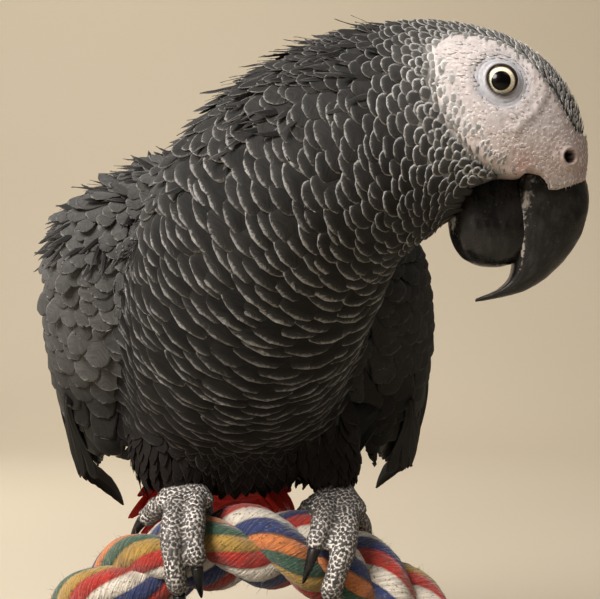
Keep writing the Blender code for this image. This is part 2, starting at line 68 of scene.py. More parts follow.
# ------------------------------------------------------------ the CAD's own shapes
BASE_RADIUS, BASE_HEIGHT, BASE_EDGE = 85.0, 12.0, 1.5
ROD_RADIUS, ROD_INTO_ROPE, ROD_X = 3.0, 7.0, (-38.0, 40.0)
ROPE_MIDDLE_X, ROPE_TOP_CENTRE_Z, ROPE_ARCH_RADIUS = 1.5, 75.8, 66.0
ROPE_HALF_ANGLE = math.radians(57.0)
LOBE_RADIUS, LOBE_OFFSET, ROPE_PITCH = 7.5, 5.0, 52.0
ROPE_RADIUS = LOBE_RADIUS + LOBE_OFFSET
SPINE = np.array([  # centre x, y, z, then depth to the back, depth to the front, half width
    (-13.0, 90.0, 74.5, 4.0, 4.0, 8.0),
    (-10.5, 70.0, 88.0, 12.5, 9.5, 17.0),
    (-7.0, 42.0, 106.0, 25.0, 19.5, 29.0),
    (-4.0, 14.0, 123.5, 33.5, 30.0, 33.5),
    (1.0, -13.0, 143.0, 36.0, 35.0, 34.5),
    (8.0, -33.0, 162.0, 36.5, 34.0, 35.5),
    (20.5, -48.0, 177.0, 35.5, 30.0, 33.0),
    (37.0, -58.5, 185.5, 33.5, 26.0, 27.5),
    (53.0, -64.0, 187.5, 31.0, 22.5, 22.5),
    (66.0, -65.0, 182.5, 27.0, 16.5, 18.0),
    (75.5, -65.0, 175.5, 18.5, 9.5, 12.5),
    (80.5, -65.0, 171.0, 9.0, 6.0, 9.0),
])
LAST = len(SPINE) - 1  # the station at the front of the head
HEAD_Y = -65.0
# the upper bill seen from the side: (x, z) of its ridge and of its cutting edge
CULMEN = np.array([(87.3, 179.5), (88.4, 174.5), (87.9, 169.5), (86.3, 164.6), (82.8, 159.2),
                   (77.2, 153.8), (70.0, 150.3), (60.4, 148.4)])
TOMIUM = np.array([(70.4, 179.0), (69.3, 174.0), (69.1, 169.0), (69.2, 164.5), (69.8, 159.8),
                   (69.2, 155.2), (66.3, 151.7), (60.6, 149.2)])
UPPER_HALF_WIDTH = np.array([10.6, 10.1, 9.3, 8.2, 6.7, 4.8, 2.9, 0.5])
# the lower bill's squarish egg: its middle in (x, z), its radii in (x, y, z), and its power
LOWER_CENTRE, LOWER_RADII, LOWER_POWER = (64.6, 169.4), (10.8, 9.4, 12.4), 2.35
NOSTRIL_X, NOSTRIL_Z = 81.2, 183.2
EYE_X, EYE_Z, EYE_RADIUS = 64.3, 200.4, 4.7
WRIST = {"right": (-45.0, -6.0, 161.0), "left": (41.5, -4.0, 158.0)}
TIP = {"right": (-57.5, 176.0, 60.5), "left": (48.0, 172.0, 68.5)}
WING = np.array([  # share, half thickness, half height, shift out, shift up, curl below, curl above
    (-0.085, 1.0, 2.0, -12.0, 10.0, 0.000, 0.000),
    (-0.055, 14.0, 13.0, -10.0, 8.0, 0.000, 0.020),
    (0.00, 22.0, 23.0, -9.0, 4.5, 0.001, 0.022),
    (0.10, 23.0, 30.0, -6.5, 1.0, 0.003, 0.015),
    (0.22, 17.0, 34.0, 1.0, -1.5, 0.006, 0.017),
    (0.36, 9.0, 34.0, 8.5, -1.0, 0.010, 0.024),
    (0.50, 5.0, 30.0, 11.0, 0.0, 0.010, 0.027),
    (0.64, 3.0, 23.5, 10.5, 0.0, 0.008, 0.025),
    (0.78, 1.9, 16.0, 7.0, -0.5, 0.005, 0.018),
    (0.91, 1.1, 8.5, 2.5, 0.0, 0.000, 0.004),
    (1.00, 0.5, 1.8, 0.0, 0.0, 0.000, 0.000),
])
ARM_END = 0.46  # share of the wing where its flesh ends
TAIL_ROOT, TAIL_TIP = np.array([-10.8, 72.0, 87.0]), np.array([-23.5, 147.0, 48.0])
TAIL_ARCH = 0.012
THIGH = {  # top, bottom, radius at the top, radius at the bottom
    "right": ((-18.0, 10.0, 120.0), (-19.0, 3.5, 94.5), 16.0, 9.5),
    "left": ((22.0, 10.0, 120.0), (26.0, 3.5, 93.5), 13.0, 8.0),
}
KNUCKLE = {"right": (-17.0, -4.0, 89.6), "left": (28.0, -3.5, 86.8)}
ANKLE = {"right": (-17.5, 8.0, 95.0), "left": (27.5, 8.0, 93.5)}
TOES = {  # x at the root and tip, angle round the rope at both, radius at both
    "right": {"2": (-10.5, -12.8, 10, 98, 3.6, 2.7), "3": (-14.5, -20.5, 10, 122, 3.9, 2.8),
              "1": (-11.5, -10.0, -14, -78, 3.4, 2.5), "4": (-17.0, -25.5, -4, -36, 3.6, 2.6)},
    "left": {"2": (20.5, 19.8, 10, 76, 3.6, 2.7), "3": (25.0, 28.3, 10, 122, 3.9, 2.8),
             "1": (20.5, 16.0, -12, -48, 3.4, 2.5), "4": (25.5, 36.0, -12, -80, 3.6, 2.6)},
}
CLAW_LENGTH = {"1": 8.0, "2": 9.5, "3": 11.0, "4": 10.0}
GAP = 0.3  # mm between a toe and the rope, and between a claw and its toe


# ------------------------------------------------------------ small maths

def unit(v):
    """Vectors of length 1."""
    v = np.asarray(v, float)
    return v / np.maximum(np.linalg.norm(v, axis=-1, keepdims=True), 1e-12)


def smooth(low, high, x):
    """0 at low, 1 at high and an S-shaped rise between them; low may be above high."""
    t = np.clip((np.asarray(x, float) - low) / (high - low), 0, 1)
    return t * t * (3 - 2 * t)


def mix(a, b, t):
    return a + (b - a) * t


def circle(sides):
    """Angles evenly spaced round a full turn."""
    return np.linspace(0, TAU, sides, endpoint=False)


def into_surface(way, normal):
    """Directions turned to lie in the surface that has these normals."""
    return unit(way - np.einsum("ij,ij->i", way, normal)[:, None] * normal)


def natural_spline(knots, values, at):
    """Natural cubic spline through values (one row per knot), read at the given places."""
    knots, values = np.asarray(knots, float), np.asarray(values, float)
    at = np.atleast_1d(np.asarray(at, float))
    n, h = len(knots), np.diff(knots)
    slope = np.diff(values, axis=0) / h[:, None]
    matrix, right = np.eye(n), np.zeros_like(values)
    for i in range(1, n - 1):
        matrix[i, i - 1 : i + 2] = h[i - 1], 2 * (h[i - 1] + h[i]), h[i]
        right[i] = 6 * (slope[i] - slope[i - 1])
    bend = np.linalg.solve(matrix, right)
    k = np.clip(np.searchsorted(knots, at, side="right") - 1, 0, n - 2)
    a, b = (knots[k + 1] - at)[:, None], (at - knots[k])[:, None]
    w = h[k][:, None]
    return (
        (bend[k] * a**3 + bend[k + 1] * b**3) / (6 * w)
        + (values[k] / w - bend[k] * w / 6) * a
        + (values[k + 1] / w - bend[k + 1] * w / 6) * b
    )


def hash_noise(points, seed, size):
    """Smooth value noise from -1 to 1 over 3-D points, with cells of the given size."""
    p = np.asarray(points, float) / size + 137.0 * seed
    cell = np.floor(p).astype(np.int64)
    f = p - cell
    f = f * f * (3 - 2 * f)
    total = 0.0
    for corner in range(8):
        step = np.array([corner & 1, corner >> 1 & 1, corner >> 2 & 1])
        c = cell + step
        h = (c[..., 0] * 374761393 + c[..., 1] * 668265263 + c[..., 2] * 2147483647
             + seed * 974634777) & 0x7FFFFFFF
        h = ((h ^ (h >> 13)) * 1274126177) & 0x7FFFFFFF
        value = ((h ^ (h >> 16)) & 0xFFFF) / 32767.5 - 1.0
        total = total + value * np.prod(np.where(step, f, 1 - f), axis=-1)
    return total


# ------------------------------------------------------------ meshes


def add_object(name, data):
    """A new object in the scene, from a mesh, a light or a camera."""
    made = bpy.data.objects.new(name, data)
    bpy.context.scene.collection.objects.link(made)
    return made


def add_attribute(mesh, name, values):
    """Stores one float or one colour for each of the mesh's points."""
    values = np.asarray(values, np.float32)
    if values.ndim == 1:
        mesh.attributes.new(name, "FLOAT", "POINT").data.foreach_set("value", values)
        return
    rgba = np.ones((len(values), 4), np.float32)
    rgba[:, :3] = values
    mesh.attributes.new(name, "FLOAT_COLOR", "POINT").data.foreach_set("color", rgba.ravel())


def make_mesh(name, points, faces, material, uvs=None, attributes=None):
    """A smooth mesh object from mm points and groups of faces, equal-length rows in each.

    uvs maps a layer's name to one 2-D value per point, attributes a name to one float or
    one colour per point.
    """
    groups = [np.asarray(g, np.int32) for g in faces if len(g)]
    mesh = bpy.data.meshes.new(name)
    points = np.asarray(points, float)
    mesh.vertices.add(len(points))
    mesh.vertices.foreach_set("co", (points * MM).astype(np.float32).ravel())
    corners = np.concatenate([g.ravel() for g in groups])
    sizes = np.concatenate([np.full(len(g), g.shape[1], np.int32) for g in groups])
    mesh.loops.add(len(corners))
    mesh.loops.foreach_set("vertex_index", corners)
    mesh.polygons.add(len(sizes))
    mesh.polygons.foreach_set("loop_start", np.cumsum(sizes) - sizes)
    mesh.update(calc_edges=True)
    mesh.polygons.foreach_set("use_smooth", np.full(len(sizes), True))
    for layer, values in (uvs or {}).items():
        made = mesh.uv_layers.new(name=layer, do_init=False)
        made.uv.foreach_set("vector", np.asarray(values, np.float32)[corners].ravel())
    for layer, values in (attributes or {}).items():
        add_attribute(mesh, layer, values)
    mesh.materials.append(material)
    return add_object(name, mesh)


def loft_faces(rings, sides, first=0, closed=True):
    """Quads between neighbouring rings of points numbered row by row."""
    i = np.arange(rings - 1)[:, None]
    j = np.arange(sides if closed else sides - 1)[None, :]
    k = (j + 1) % sides
    a = first + i * sides
    return np.stack([a + j, a + k, a + sides + k, a + sides + j], -1).reshape(-1, 4)


def outward(points, faces):
    """Faces turned so that the closed mesh's volume is positive."""
    volume = 0.0
    for g in faces:
        for n in range(1, g.shape[1] - 1):
            a, b, c = points[g[:, 0]], points[g[:, n]], points[g[:, n + 1]]
            volume += np.einsum("ij,ij->i", a, np.cross(b, c)).sum()
    return [g[:, ::-1] for g in faces] if volume < 0 else faces


def loft(rings):
    """Points and outward faces of a closed body through rings, its ends drawn to their middles."""
    rings = np.asarray(rings, float)
    count, sides = rings.shape[:2]
    points = np.concatenate([rings.reshape(-1, 3), rings[0].mean(0)[None],
                             rings[-1].mean(0)[None]])
    j = np.arange(sides)
    k = (j + 1) % sides
    low, high = count * sides, count * sides + 1
    last = (count - 1) * sides
    ends = np.concatenate([np.stack([k, j, np.full(sides, low)], -1),
                           np.stack([last + j, last + k, np.full(sides, high)], -1)])
    return points, outward(points, [loft_faces(count, sides), ends])


def loft_many(bodies):
    """One set of points and faces from several lofted bodies."""
    points, groups, at = [], [], 0
    for rings in bodies:
        p, faces = loft(rings)
        groups += [g + at for g in faces]
        points.append(p)
        at += len(p)
    return np.concatenate(points), groups


def surface_tree(points, groups):
    """Search tree over groups of faces, in mm."""
    return BVHTree.FromPolygons(points.tolist(), [f for g in groups for f in g.tolist()])


def mesh_points(mesh):
    """A mesh's points in mm."""
    spots = np.empty(len(mesh.vertices) * 3, np.float32)
    mesh.vertices.foreach_get("co", spots)
    return spots.reshape(-1, 3).astype(float) / MM


def mesh_edges(mesh):
    ends = np.empty(len(mesh.edges) * 2, np.int32)
    mesh.edges.foreach_get("vertices", ends)
    return ends.reshape(-1, 2)


def settle(made, slot, *nodes):
    """Attaches a finished piece to the root body and hides the CAD nodes it replaces; slot is not
    used.
    """
    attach(made, "root")
    if nodes:
        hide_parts(*nodes)


def placed(name, points, faces, material, slot, *nodes, **more):
    """A finished piece that replaces CAD nodes."""
    made = make_mesh(name, points, faces, material, **more)
    print("piece", name, sum(len(g) * (g.shape[1] - 2) for g in faces), "triangles")
    settle(made, slot, *nodes)


def point_tree(points):
    """Search tree over points."""
    tree = KDTree(len(points))
    for i, p in enumerate(points):
        tree.insert(p, i)
    tree.balance()
    return tree


def nearest(tree, points):
    """Nearest surface points and their outward normals."""
    flat = np.asarray(points, float).reshape(-1, 3)
    where, normal = np.empty_like(flat), np.empty_like(flat)
    for i, p in enumerate(flat):
        hit = tree.find_nearest(p)
        where[i], normal[i] = hit[0], hit[1]
    return where.reshape(points.shape), normal.reshape(points.shape)


# ------------------------------------------------------------ surfaces


def spine_frame(s):
    """Centre, direction, way to the back, way to the side and radii at stations s."""
    rows = natural_spline(np.arange(len(SPINE)), SPINE, s)
    step = natural_spline(np.arange(len(SPINE)), SPINE[:, :3], np.asarray(s) + 0.01) - rows[:, :3]
    along = unit(step)
    back = unit(UP - (along @ UP)[:, None] * along)
    return rows[:, :3], along, back, np.cross(along, back), rows[:, 3:]


def body_points(s, turn, grow=0.0):
    """Points of the body's surface at stations s and angles turn round it (0 is the back)."""
    centre, _, back, side, radii = spine_frame(s)
    depth = np.where(np.cos(turn) > 0, radii[:, 0], radii[:, 1]) + grow
    width = radii[:, 2] + grow
    return (centre + (depth * np.cos(turn))[:, None] * back
            + (width * np.sin(turn))[:, None] * side)


def body_rings(stations, sides, grow=0.0):
    """Rings of trunk, neck and head, their surface moved outwards by grow."""
    turn = circle(sides)
    s, a = np.repeat(stations, sides), np.tile(turn, len(stations))
    grow = np.repeat(np.broadcast_to(grow, len(stations)), sides)
    return body_points(s, a, grow).reshape(len(stations), sides, 3)


def wing_frame(side):
    """The folded wing's wrist, direction to its tip, upward and outward ways, and length."""
    wrist, tip = np.array(WRIST[side]), np.array(TIP[side])
    along = unit(tip - wrist)
    upward = unit(UP - (UP @ along) * along)
    out = np.cross(along, upward)
    if (out[0] < 0) != (side == "right"):
        out = -out
    return wrist, along, upward, out, np.linalg.norm(tip - wrist)


def wing_rows(share):
    """The folded wing's measures at shares of its length, as in WING."""
    return natural_spline(WING[:, 0], WING[:, 1:], share)


def wing_points(side, share, height, off=0.0, turn=None):
    """Points of the folded wing.

    share runs from wrist to tip, height from -1 at the lower edge to 1 at the upper, and
    off lifts a point away from the wing's outer face.  turn, if given, goes round the
    oval section instead of using height.
    """
    wrist, along, upward, out, length = wing_frame(side)
    thick, tall, shift, up, curl_low, curl_high = wing_rows(np.ravel(share)).T
    thick, tall = np.maximum(thick, 0.45), np.maximum(tall, 1.0)
    height = np.ravel(height)
    if turn is None:
        h = tall * height
        face = thick * np.sqrt(np.clip(1 - height**2, 0, 1))
    else:
        h = (tall + off) * np.sin(turn)
        face = thick * np.cos(turn)
        off = off * np.cos(turn)
    o = shift + face + off - np.where(h > 0, curl_high, curl_low) * h * h
    share = np.ravel(share)
    return (wrist + along * (share * length)[:, None] + upward * (h + up)[:, None]
            + out * o[:, None])


def wing_rings(side, shares, sides, grow=0.0):
    """Rings of the folded wing, its surface moved outwards by grow."""
    turn = circle(sides)
    t, a = np.repeat(shares, sides), np.tile(turn, len(shares))
    points = wing_points(side, t, np.zeros(len(t)), np.full(len(t), grow), a)
    return points.reshape(len(shares), sides, 3)


def tube_rings(path, radii, sides, first_side=(1.0, 0.0, 0.0)):
    """Oval rings along a path; the first of each pair of radii lies towards first_side."""
    path = np.asarray(path, float)
    along = unit(np.gradient(path, axis=0))
    side = unit(first_side - (along @ np.asarray(first_side, float))[:, None] * along)
    upright = np.cross(along, side)
    turn = circle(sides)
    radii = np.asarray(radii, float)
    return (path[:, None, :] + (radii[:, 0:1] * np.cos(turn))[..., None] * side[:, None, :]
            + (radii[:, 1:2] * np.sin(turn))[..., None] * upright[:, None, :])


def rounded_ends(count, share):
    """Factors that round off both ends of a row of rings, over a share of it."""
    t = np.linspace(0, 1, count)
    near = np.clip(np.minimum(t, 1 - t) / share, 0, 1)
    return np.sqrt(np.clip(1 - (1 - near) ** 2, 0.02, 1))


def rope_frame(x):
    """The rope's centre line, its upward normal and its direction at each x."""
    share = (np.asarray(x, float) - ROPE_MIDDLE_X) / ROPE_ARCH_RADIUS
    angle = np.arcsin(np.clip(share, -0.999, 0.999))
    zero = np.zeros_like(angle)
    normal = np.stack([np.sin(angle), zero, np.cos(angle)], -1)
    along = np.stack([np.cos(angle), zero, -np.sin(angle)], -1)
    middle = np.array([ROPE_MIDDLE_X, 0, ROPE_TOP_CENTRE_Z - ROPE_ARCH_RADIUS])
    return middle + ROPE_ARCH_RADIUS * normal, normal, along


def thigh_rings(side, count, sides, grow=0.0):
    """Rings of one thigh, thick above and narrow at the ankle."""
    top, bottom, wide, narrow = THIGH[side]
    t = np.linspace(0, 1, count)
    radius = (wide + (narrow - wide) * t**1.3) * rounded_ends(count, 0.3) + grow
    return tube_rings(np.linspace(top, bottom, count), np.stack([radius, radius * 1.05], 1),
                      sides)


def toe_path(side, toe, steps):
    """A toe's middle line round the rope, its radius and the way from the rope out to it."""
    x0, x1, a0, a1, r0, r1 = TOES[side][toe]
    u = np.linspace(0, 1, steps)
    x = x0 + (x1 - x0) * u
    angle = np.radians(a0 + (a1 - a0) * u)
    radius = r0 + (r1 - r0) * u
    centre, normal, _ = rope_frame(x)
    way = np.cos(angle)[:, None] * normal + np.sin(angle)[:, None] * FRONT
    return centre + (ROPE_RADIUS + GAP + radius)[:, None] * way, radius, way


# ------------------------------------------------------------ materials


class Paint:
    """A Principled material and short calls that add nodes to it."""

    def __init__(self, name, roughness=0.6, **constant):
        self.material = bpy.data.materials.new(name)
        self.material.use_nodes = True
        self.tree = self.material.node_tree
        self.shader = self.tree.nodes["Principled BSDF"]
        self.shader.inputs["Roughness"].default_value = roughness
        for key, value in constant.items():
            self.shader.inputs[key.replace("_", " ")].default_value = value

    def put(self, socket, value):
        """Links an output to a socket, or sets the socket to a plain value."""
        if isinstance(value, bpy.types.NodeSocket):
            self.tree.links.new(value, socket)
        elif value is not None:
            if socket.type == "RGBA" and np.ndim(value) and len(value) == 3:
                value = (*value, 1.0)
            socket.default_value = value

    def node(self, kind, inputs=(), **settings):
        made = self.tree.nodes.new("ShaderNode" + kind)
        for key, value in settings.items():
            setattr(made, key, value)
        for key, value in dict(inputs).items():
            self.put(made.inputs[key], value)
        return made

    def math(self, operation, a, b=0.0):
        return self.node("Math", {0: a, 1: b}, operation=operation).outputs[0]

    def times(self, a, b):
        return self.math("MULTIPLY", a, b)

    def plus(self, a, b):
        return self.math("ADD", a, b)

    def minus(self, a, b):
        return self.math("SUBTRACT", a, b)

    def step(self, value, low, high, to_low=0.0, to_high=1.0):
        made = self.node("MapRange", {"Value": value, "From Min": low, "From Max": high,
                                      "To Min": to_low, "To Max": to_high},
                         interpolation_type="SMOOTHSTEP")
        return made.outputs["Result"]

    def mix(self, share, a, b, blend="MIX"):
        made = self.node("Mix", data_type="RGBA", blend_type=blend)
        self.put(made.inputs[0], share)
        self.put(made.inputs[6], a)
        self.put(made.inputs[7], b)
        return made.outputs[2]

    def place(self):
        return self.node("TexCoord").outputs["Object"]

    def noise(self, scale, detail=2.0, rough=0.5, at=None, distortion=0.0):
        made = self.node("TexNoise", {"Vector": at or self.place(), "Scale": scale,
                                      "Detail": detail, "Roughness": rough,
                                      "Distortion": distortion})
        return made.outputs[0]

    def value(self, name):
        return self.node("Attribute", attribute_name=name).outputs["Fac"]

    def colour(self, name):
        return self.node("Attribute", attribute_name=name).outputs["Color"]

    def uv(self, name):
        made = self.node("UVMap", uv_map=name)
        return self.node("SeparateXYZ", {0: made.outputs[0]}).outputs[:2]

    def combine(self, x, y, z=0.0):
        return self.node("CombineXYZ", {0: x, 1: y, 2: z}).outputs[0]

    def stretched(self, *scaled):
        """A vector of values times factors, so that noise runs out along the smaller factors."""
        return self.combine(*(self.times(value, factor) for value, factor in scaled))

    def bump(self, height, distance, strength=1.0, under=None):
        made = self.node("Bump", {"Height": height, "Distance": distance,
                                  "Strength": strength, "Normal": under})
        return made.outputs[0]

    def finish(self, colour=None, roughness=None, normal=None):
        self.put(self.shader.inputs["Base Color"], colour)
        self.put(self.shader.inputs["Roughness"], roughness)
        self.put(self.shader.inputs["Normal"], normal)
        return self.material


def feather_material(name, specular, rim_width):
    """Vane with a paler rim, barbs that run out from the shaft, and small gaps in them painted
    near-black as painted shade.
    """
    p = Paint(name, 0.72, Specular_IOR_Level=specular)
    paint, rim_paint = p.colour("paint"), p.colour("rim_paint")
    across, down = p.uv("vane")
    side, tip = p.uv("rim")
    seed = p.value("seed")
    reach = p.math("ABSOLUTE", across)
    edge = p.math("MINIMUM", side, tip)
    lane = p.minus(down, p.times(reach, 0.22))
    barbs = p.noise(1.0, 2.0, 0.6, p.stretched((across, 1.1), (lane, 30.0), (seed, 37.0)))
    mottle = p.noise(1.0, 2.0, 0.5, p.stretched((across, 1.6), (down, 2.6), (seed, 91.0)))
    frayed = p.plus(edge, p.times(p.minus(barbs, 0.5), rim_width * 2.3))
    rim = p.times(p.step(frayed, rim_width * 1.5, rim_width * 0.15), p.step(down, 0.30, 0.62))
    body = p.mix(p.step(mottle, 0.25, 0.75), paint, (0.5, 0.5, 0.5), "MULTIPLY")
    body = p.mix(0.62, body, paint)
    body = p.mix(p.step(barbs, 0.30, 0.70, 0.0, 0.55), body, (0.42, 0.42, 0.42), "MULTIPLY")
    streak = p.step(barbs, 0.60, 0.70)
    paler = p.times(p.step(edge, 2.8, 0.6), p.step(streak, 0.0, 1.0, 0.06, 0.20))
    body = p.mix(p.times(paler, p.step(down, 0.45, 0.95)), body, rim_paint)
    # painted shade: near-black streaks between the barbs towards the vane's sides stand for the
    # shade seen through small gaps in the vane
    dark = p.times(p.step(barbs, 0.40, 0.30), p.step(reach, 0.35, 0.9))
    body = p.mix(p.times(dark, 0.45), body, (0.004, 0.004, 0.004))
    body = p.mix(p.times(p.step(reach, 0.05, 0.015), p.value("shaft")), body, rim_paint)
    colour = p.mix(p.times(rim, p.value("rim_share")), body, rim_paint)
    return p.finish(colour, None, p.bump(barbs, 0.00025, 0.5))


def tuft_material():
    """Soft white face feathers, faintly streaked."""
    p = Paint("face_tuft", 0.62, Specular_IOR_Level=0.2)
    across, down = p.uv("vane")
    streak = p.noise(1.0, 2.0, 0.6, p.combine(p.times(across, 3.0), down,
                                              p.times(p.value("seed"), 50.0)))
    colour = p.mix(p.step(streak, 0.35, 0.65, 0.0, 0.30), p.colour("paint"),
                   p.colour("rim_paint"), "MULTIPLY")
    return p.finish(colour, None, p.bump(streak, 0.0001, 0.4))


feather_paint = feather_material("contour_feather", 0.07, 0.74)
tuft_paint = tuft_material()
flight_paint = feather_material("flight_feather", 0.025, 0.30)


# ------------------------------------------------------------ vanes


CAMBER = 0.10  # how much a contour feather's sides droop, per mm of half width
THINNEST = 0.04  # half width of a vane's very tip, in mm


def tip_outline(v, widest, point):
    """Half width of a vane along its length, from 0 to 1, with a round or pointed tip."""
    x = np.clip((v - widest) / (1 - widest), 0, 1)
    root = 0.40 + 0.60 * smooth(0.0, widest * 0.9, v)
    return root * np.maximum(1 - x * x, 0.0) ** point


def per_vane(n, *values):
    """Each value as one number for each of n vanes, ready to meet their rows and columns."""
    return [np.broadcast_to(np.asarray(value, float), n)[:, None, None] for value in values]


VANE_ON_MAP = (0.0015, 0.003)  # half width and length of every vane on the OFBake map


class Coat:
    """Gathers vanes and makes them one mesh."""

    def __init__(self):
        self.points, self.faces, self.at = [], [], 0
        self.layers = {k: [] for k in ("vane", "rim", "OFBake")}
        self.paint = {k: [] for k in ("paint", "rim_paint", "seed", "rim_share", "shaft")}

    def add(self, grid, under, u, v, side_mm, tip_mm, patch, paint, rim_paint, rim_share,
            shaft=0.0):
        """Adds n vanes: grid is n x rows x columns points on top, under n x rows points below.

        side_mm and tip_mm say how far each point on top is from the vane's side and tip.
        """
        n, rows, cols = grid.shape[:3]
        top = rows * cols
        count = top + rows
        points = np.concatenate([grid.reshape(n, top, 3), under], 1)
        i, k = np.arange(rows - 1), np.arange(cols - 1)
        left = np.stack([i * cols, (i + 1) * cols, top + i + 1, top + i], -1)
        right = np.stack([i * cols + cols - 1, top + i, top + i + 1, (i + 1) * cols + cols - 1],
                         -1)
        last = (rows - 1) * cols
        caps = np.concatenate([
            np.stack([k + 1, k, np.full(cols - 1, top)], -1),
            np.stack([last + k, last + k + 1, np.full(cols - 1, top + rows - 1)], -1)])
        quads = np.concatenate([loft_faces(rows, cols, closed=False), left, right])
        base = self.at + np.arange(n)[:, None, None] * count
        half_row, half_col = rows // 2, cols // 2
        across = grid[:, half_row, -1] - grid[:, half_row, 0]
        along = grid[:, -1, half_col] - grid[:, 0, half_col]
        raised = grid[:, half_row, half_col] - under[:, half_row]
        inward = (np.einsum("ij,ij->i", np.cross(across, along), raised) < 0)[:, None, None]
        for group in (quads, caps):
            turned = np.where(inward, group[None, :, ::-1], group[None])
            self.faces.append((turned + base).reshape(-1, group.shape[1]))
        self.at += n * count
        self.points.append(points.reshape(-1, 3))
        uu = np.concatenate([np.tile(u, rows), np.zeros(rows)])
        vv = np.concatenate([np.repeat(v, cols), v])
        self.layers["vane"].append(np.tile(np.stack([uu, vv], -1), (n, 1)))
        sides = np.concatenate([side_mm.reshape(n, top), side_mm.max(2)], 1)
        tips = np.concatenate([tip_mm.reshape(n, top), tip_mm.min(2)], 1)
        self.layers["rim"].append(np.stack([sides, tips], -1).reshape(-1, 2))
        local = np.stack([uu, vv], -1) * VANE_ON_MAP
        self.layers["OFBake"].append((patch[:, None, :] + local[None]).reshape(-1, 2))
        for key, value in (("paint", paint), ("rim_paint", rim_paint)):
            if np.ndim(value) < 3:
                value = np.repeat(np.broadcast_to(value, (n, 3)), count, 0)
            self.paint[key].append(np.reshape(value, (-1, 3)))
        for key, value in (("seed", random.random(n)), ("rim_share", rim_share),
                           ("shaft", shaft)):
            self.paint[key].append(np.repeat(np.broadcast_to(value, n), count))

    def make(self, name, material, slot, *nodes):
        """The finished piece, which replaces CAD nodes if any are given."""
        quads, tris = np.concatenate(self.faces[0::2]), np.concatenate(self.faces[1::2])
        uvs = {k: np.concatenate(v) for k, v in self.layers.items()}
        paint = {k: np.concatenate(v) for k, v in self.paint.items()}
        placed(name, np.concatenate(self.points), [quads, tris], material, slot, *nodes,
               uvs=uvs, attributes=paint)


def lay_vanes(coat, tree, root, way, length, width, paint, rim_paint, rim_share, patch, deep,
              lift, point, widest, rows, cols, thick, notch, bow=0.0, splits=0.0, rim_scale=1.0):
    """Lays vanes over the surface held in tree, from roots along the directions way.

    deep is how far the root lies under the surface, lift how far the tip stands above it.
    Each vane has rows x cols points; notch roughens its edge, splits opens it between barbs.
    """
    n = len(root)
    length, width, deep, lift, point, bow, widest = per_vane(
        n, length, width, deep, lift, point, bow, widest)
    _, normal = nearest(tree, root)
    way = into_surface(way, normal)
    across = np.cross(normal, way)
    u = np.linspace(-1, 1, cols)
    v = 1 - (1 - np.linspace(0, 1, rows)) ** 1.5
    vv = np.broadcast_to(v[None, :, None], (n, rows, cols))
    uu = np.broadcast_to(u[None, None, :], (n, rows, cols))
    half = np.maximum(tip_outline(vv, widest, point) * (width / 2), THINNEST)
    ragged = random.normal(0, 1, (n, rows, cols)) * notch * smooth(0.55, 1.0, vv)
    split = (random.random((n, 1, cols)) < splits) * random.uniform(0.02, 0.05, (n, 1, cols))
    forward = vv * length + ragged * (0.2 + np.abs(uu) * 0.5)
    forward = forward - split * length * smooth(0.60, 1.0, vv)
    turned = bow * vv * vv * length
    flat = (root[:, None, None] + forward[..., None] * way[:, None, None]
            + (uu * half + turned)[..., None] * across[:, None, None])
    where, out = nearest(tree, flat)
    rise = -deep + (deep + lift) * vv**1.25
    dome = -CAMBER * (uu**2) * half * smooth(0.1, 0.6, vv)
    wave = 0.10 * hash_noise(flat, 5, 2.2)
    grid = where + out * (rise + dome + wave)[..., None]
    middle = cols // 2
    spine = half[:, :, middle]
    body = thick * np.sqrt(np.clip(spine / spine.max(1)[:, None], 0.05, 1))
    under = grid[:, :, middle] - out[:, :, middle] * (body + CAMBER * spine * 0.5)[..., None]
    fine = np.clip(width / 14.0, 0.35, 1.1) * np.reshape(rim_scale, (-1, 1, 1))
    side_mm = (1 - np.abs(uu)) * half / fine
    tip_mm = ((1 - vv) * length + np.zeros_like(uu)) / fine
    coat.add(grid, under, u, v, side_mm, tip_mm, patch, paint, rim_paint, rim_share)


RECENT = 900  # how many of the last kept points can still lie near a new one


def advance(points, order, along, gap_along, gap_across):
    """Picks points in order so that none is nearer to another than its own oval of space."""
    order = np.argsort(order, kind="stable")
    gap_along, gap_across = (np.broadcast_to(gap, len(points)) for gap in (gap_along, gap_across))
    kept = np.empty(len(points), int)
    spot = np.empty((len(points), 3))
    count = 0
    for i in order:
        if count:
            gap = spot[max(0, count - RECENT) : count] - points[i]
            run = gap @ along[i]
            square = np.einsum("ij,ij->i", gap, gap) - run * run
            if ((run / gap_along[i]) ** 2 + square / gap_across[i] ** 2 < 1).any():
                continue
        spot[count], kept[count] = points[i], i
        count += 1
    return kept[:count]


# ------------------------------------------------------------ the face's lines, from the side

FACE_EDGE = np.array([  # the bare white patch, round from its upper back corner
    (48.4, 208.6), (53.4, 211.4), (60.0, 211.2), (66.0, 209.4), (71.2, 205.6), (75.2, 200.6),
    (78.2, 196.0), (80.6, 192.2), (83.0, 188.6), (90.0, 188.0), (90.0, 179.0), (84.8, 177.6),
    (76.3, 175.6), (72.0, 178.0), (68.2, 178.2), (64.6, 179.8), (60.4, 181.8), (57.2, 184.2),
    (54.0, 187.6), (51.2, 191.8), (49.2, 197.0),
])
CERE_LINE = np.array([(70.9, 180.2), (72.5, 179.6), (74.1, 179.1), (75.6, 177.6), (76.3, 175.6),
                      (78.6, 175.3), (81.7, 176.2), (84.8, 177.6), (87.6, 179.2), (92.0, 180.0)])
UPPER_EDGE = np.concatenate([CERE_LINE, [
    (92.0, 165.0), (82.0, 150.0), (66.0, 145.0), (57.0, 147.0), (59.5, 150.6), (65.6, 153.0),
    (68.2, 156.2), (68.8, 160.0), (68.2, 164.5), (68.1, 169.0), (68.3, 174.0), (69.0, 178.0)]])
CHIN_LINE = np.array([(50.0, 170.2), (52.7, 172.0), (58.0, 176.2), (64.0, 178.4), (71.0, 179.0)])
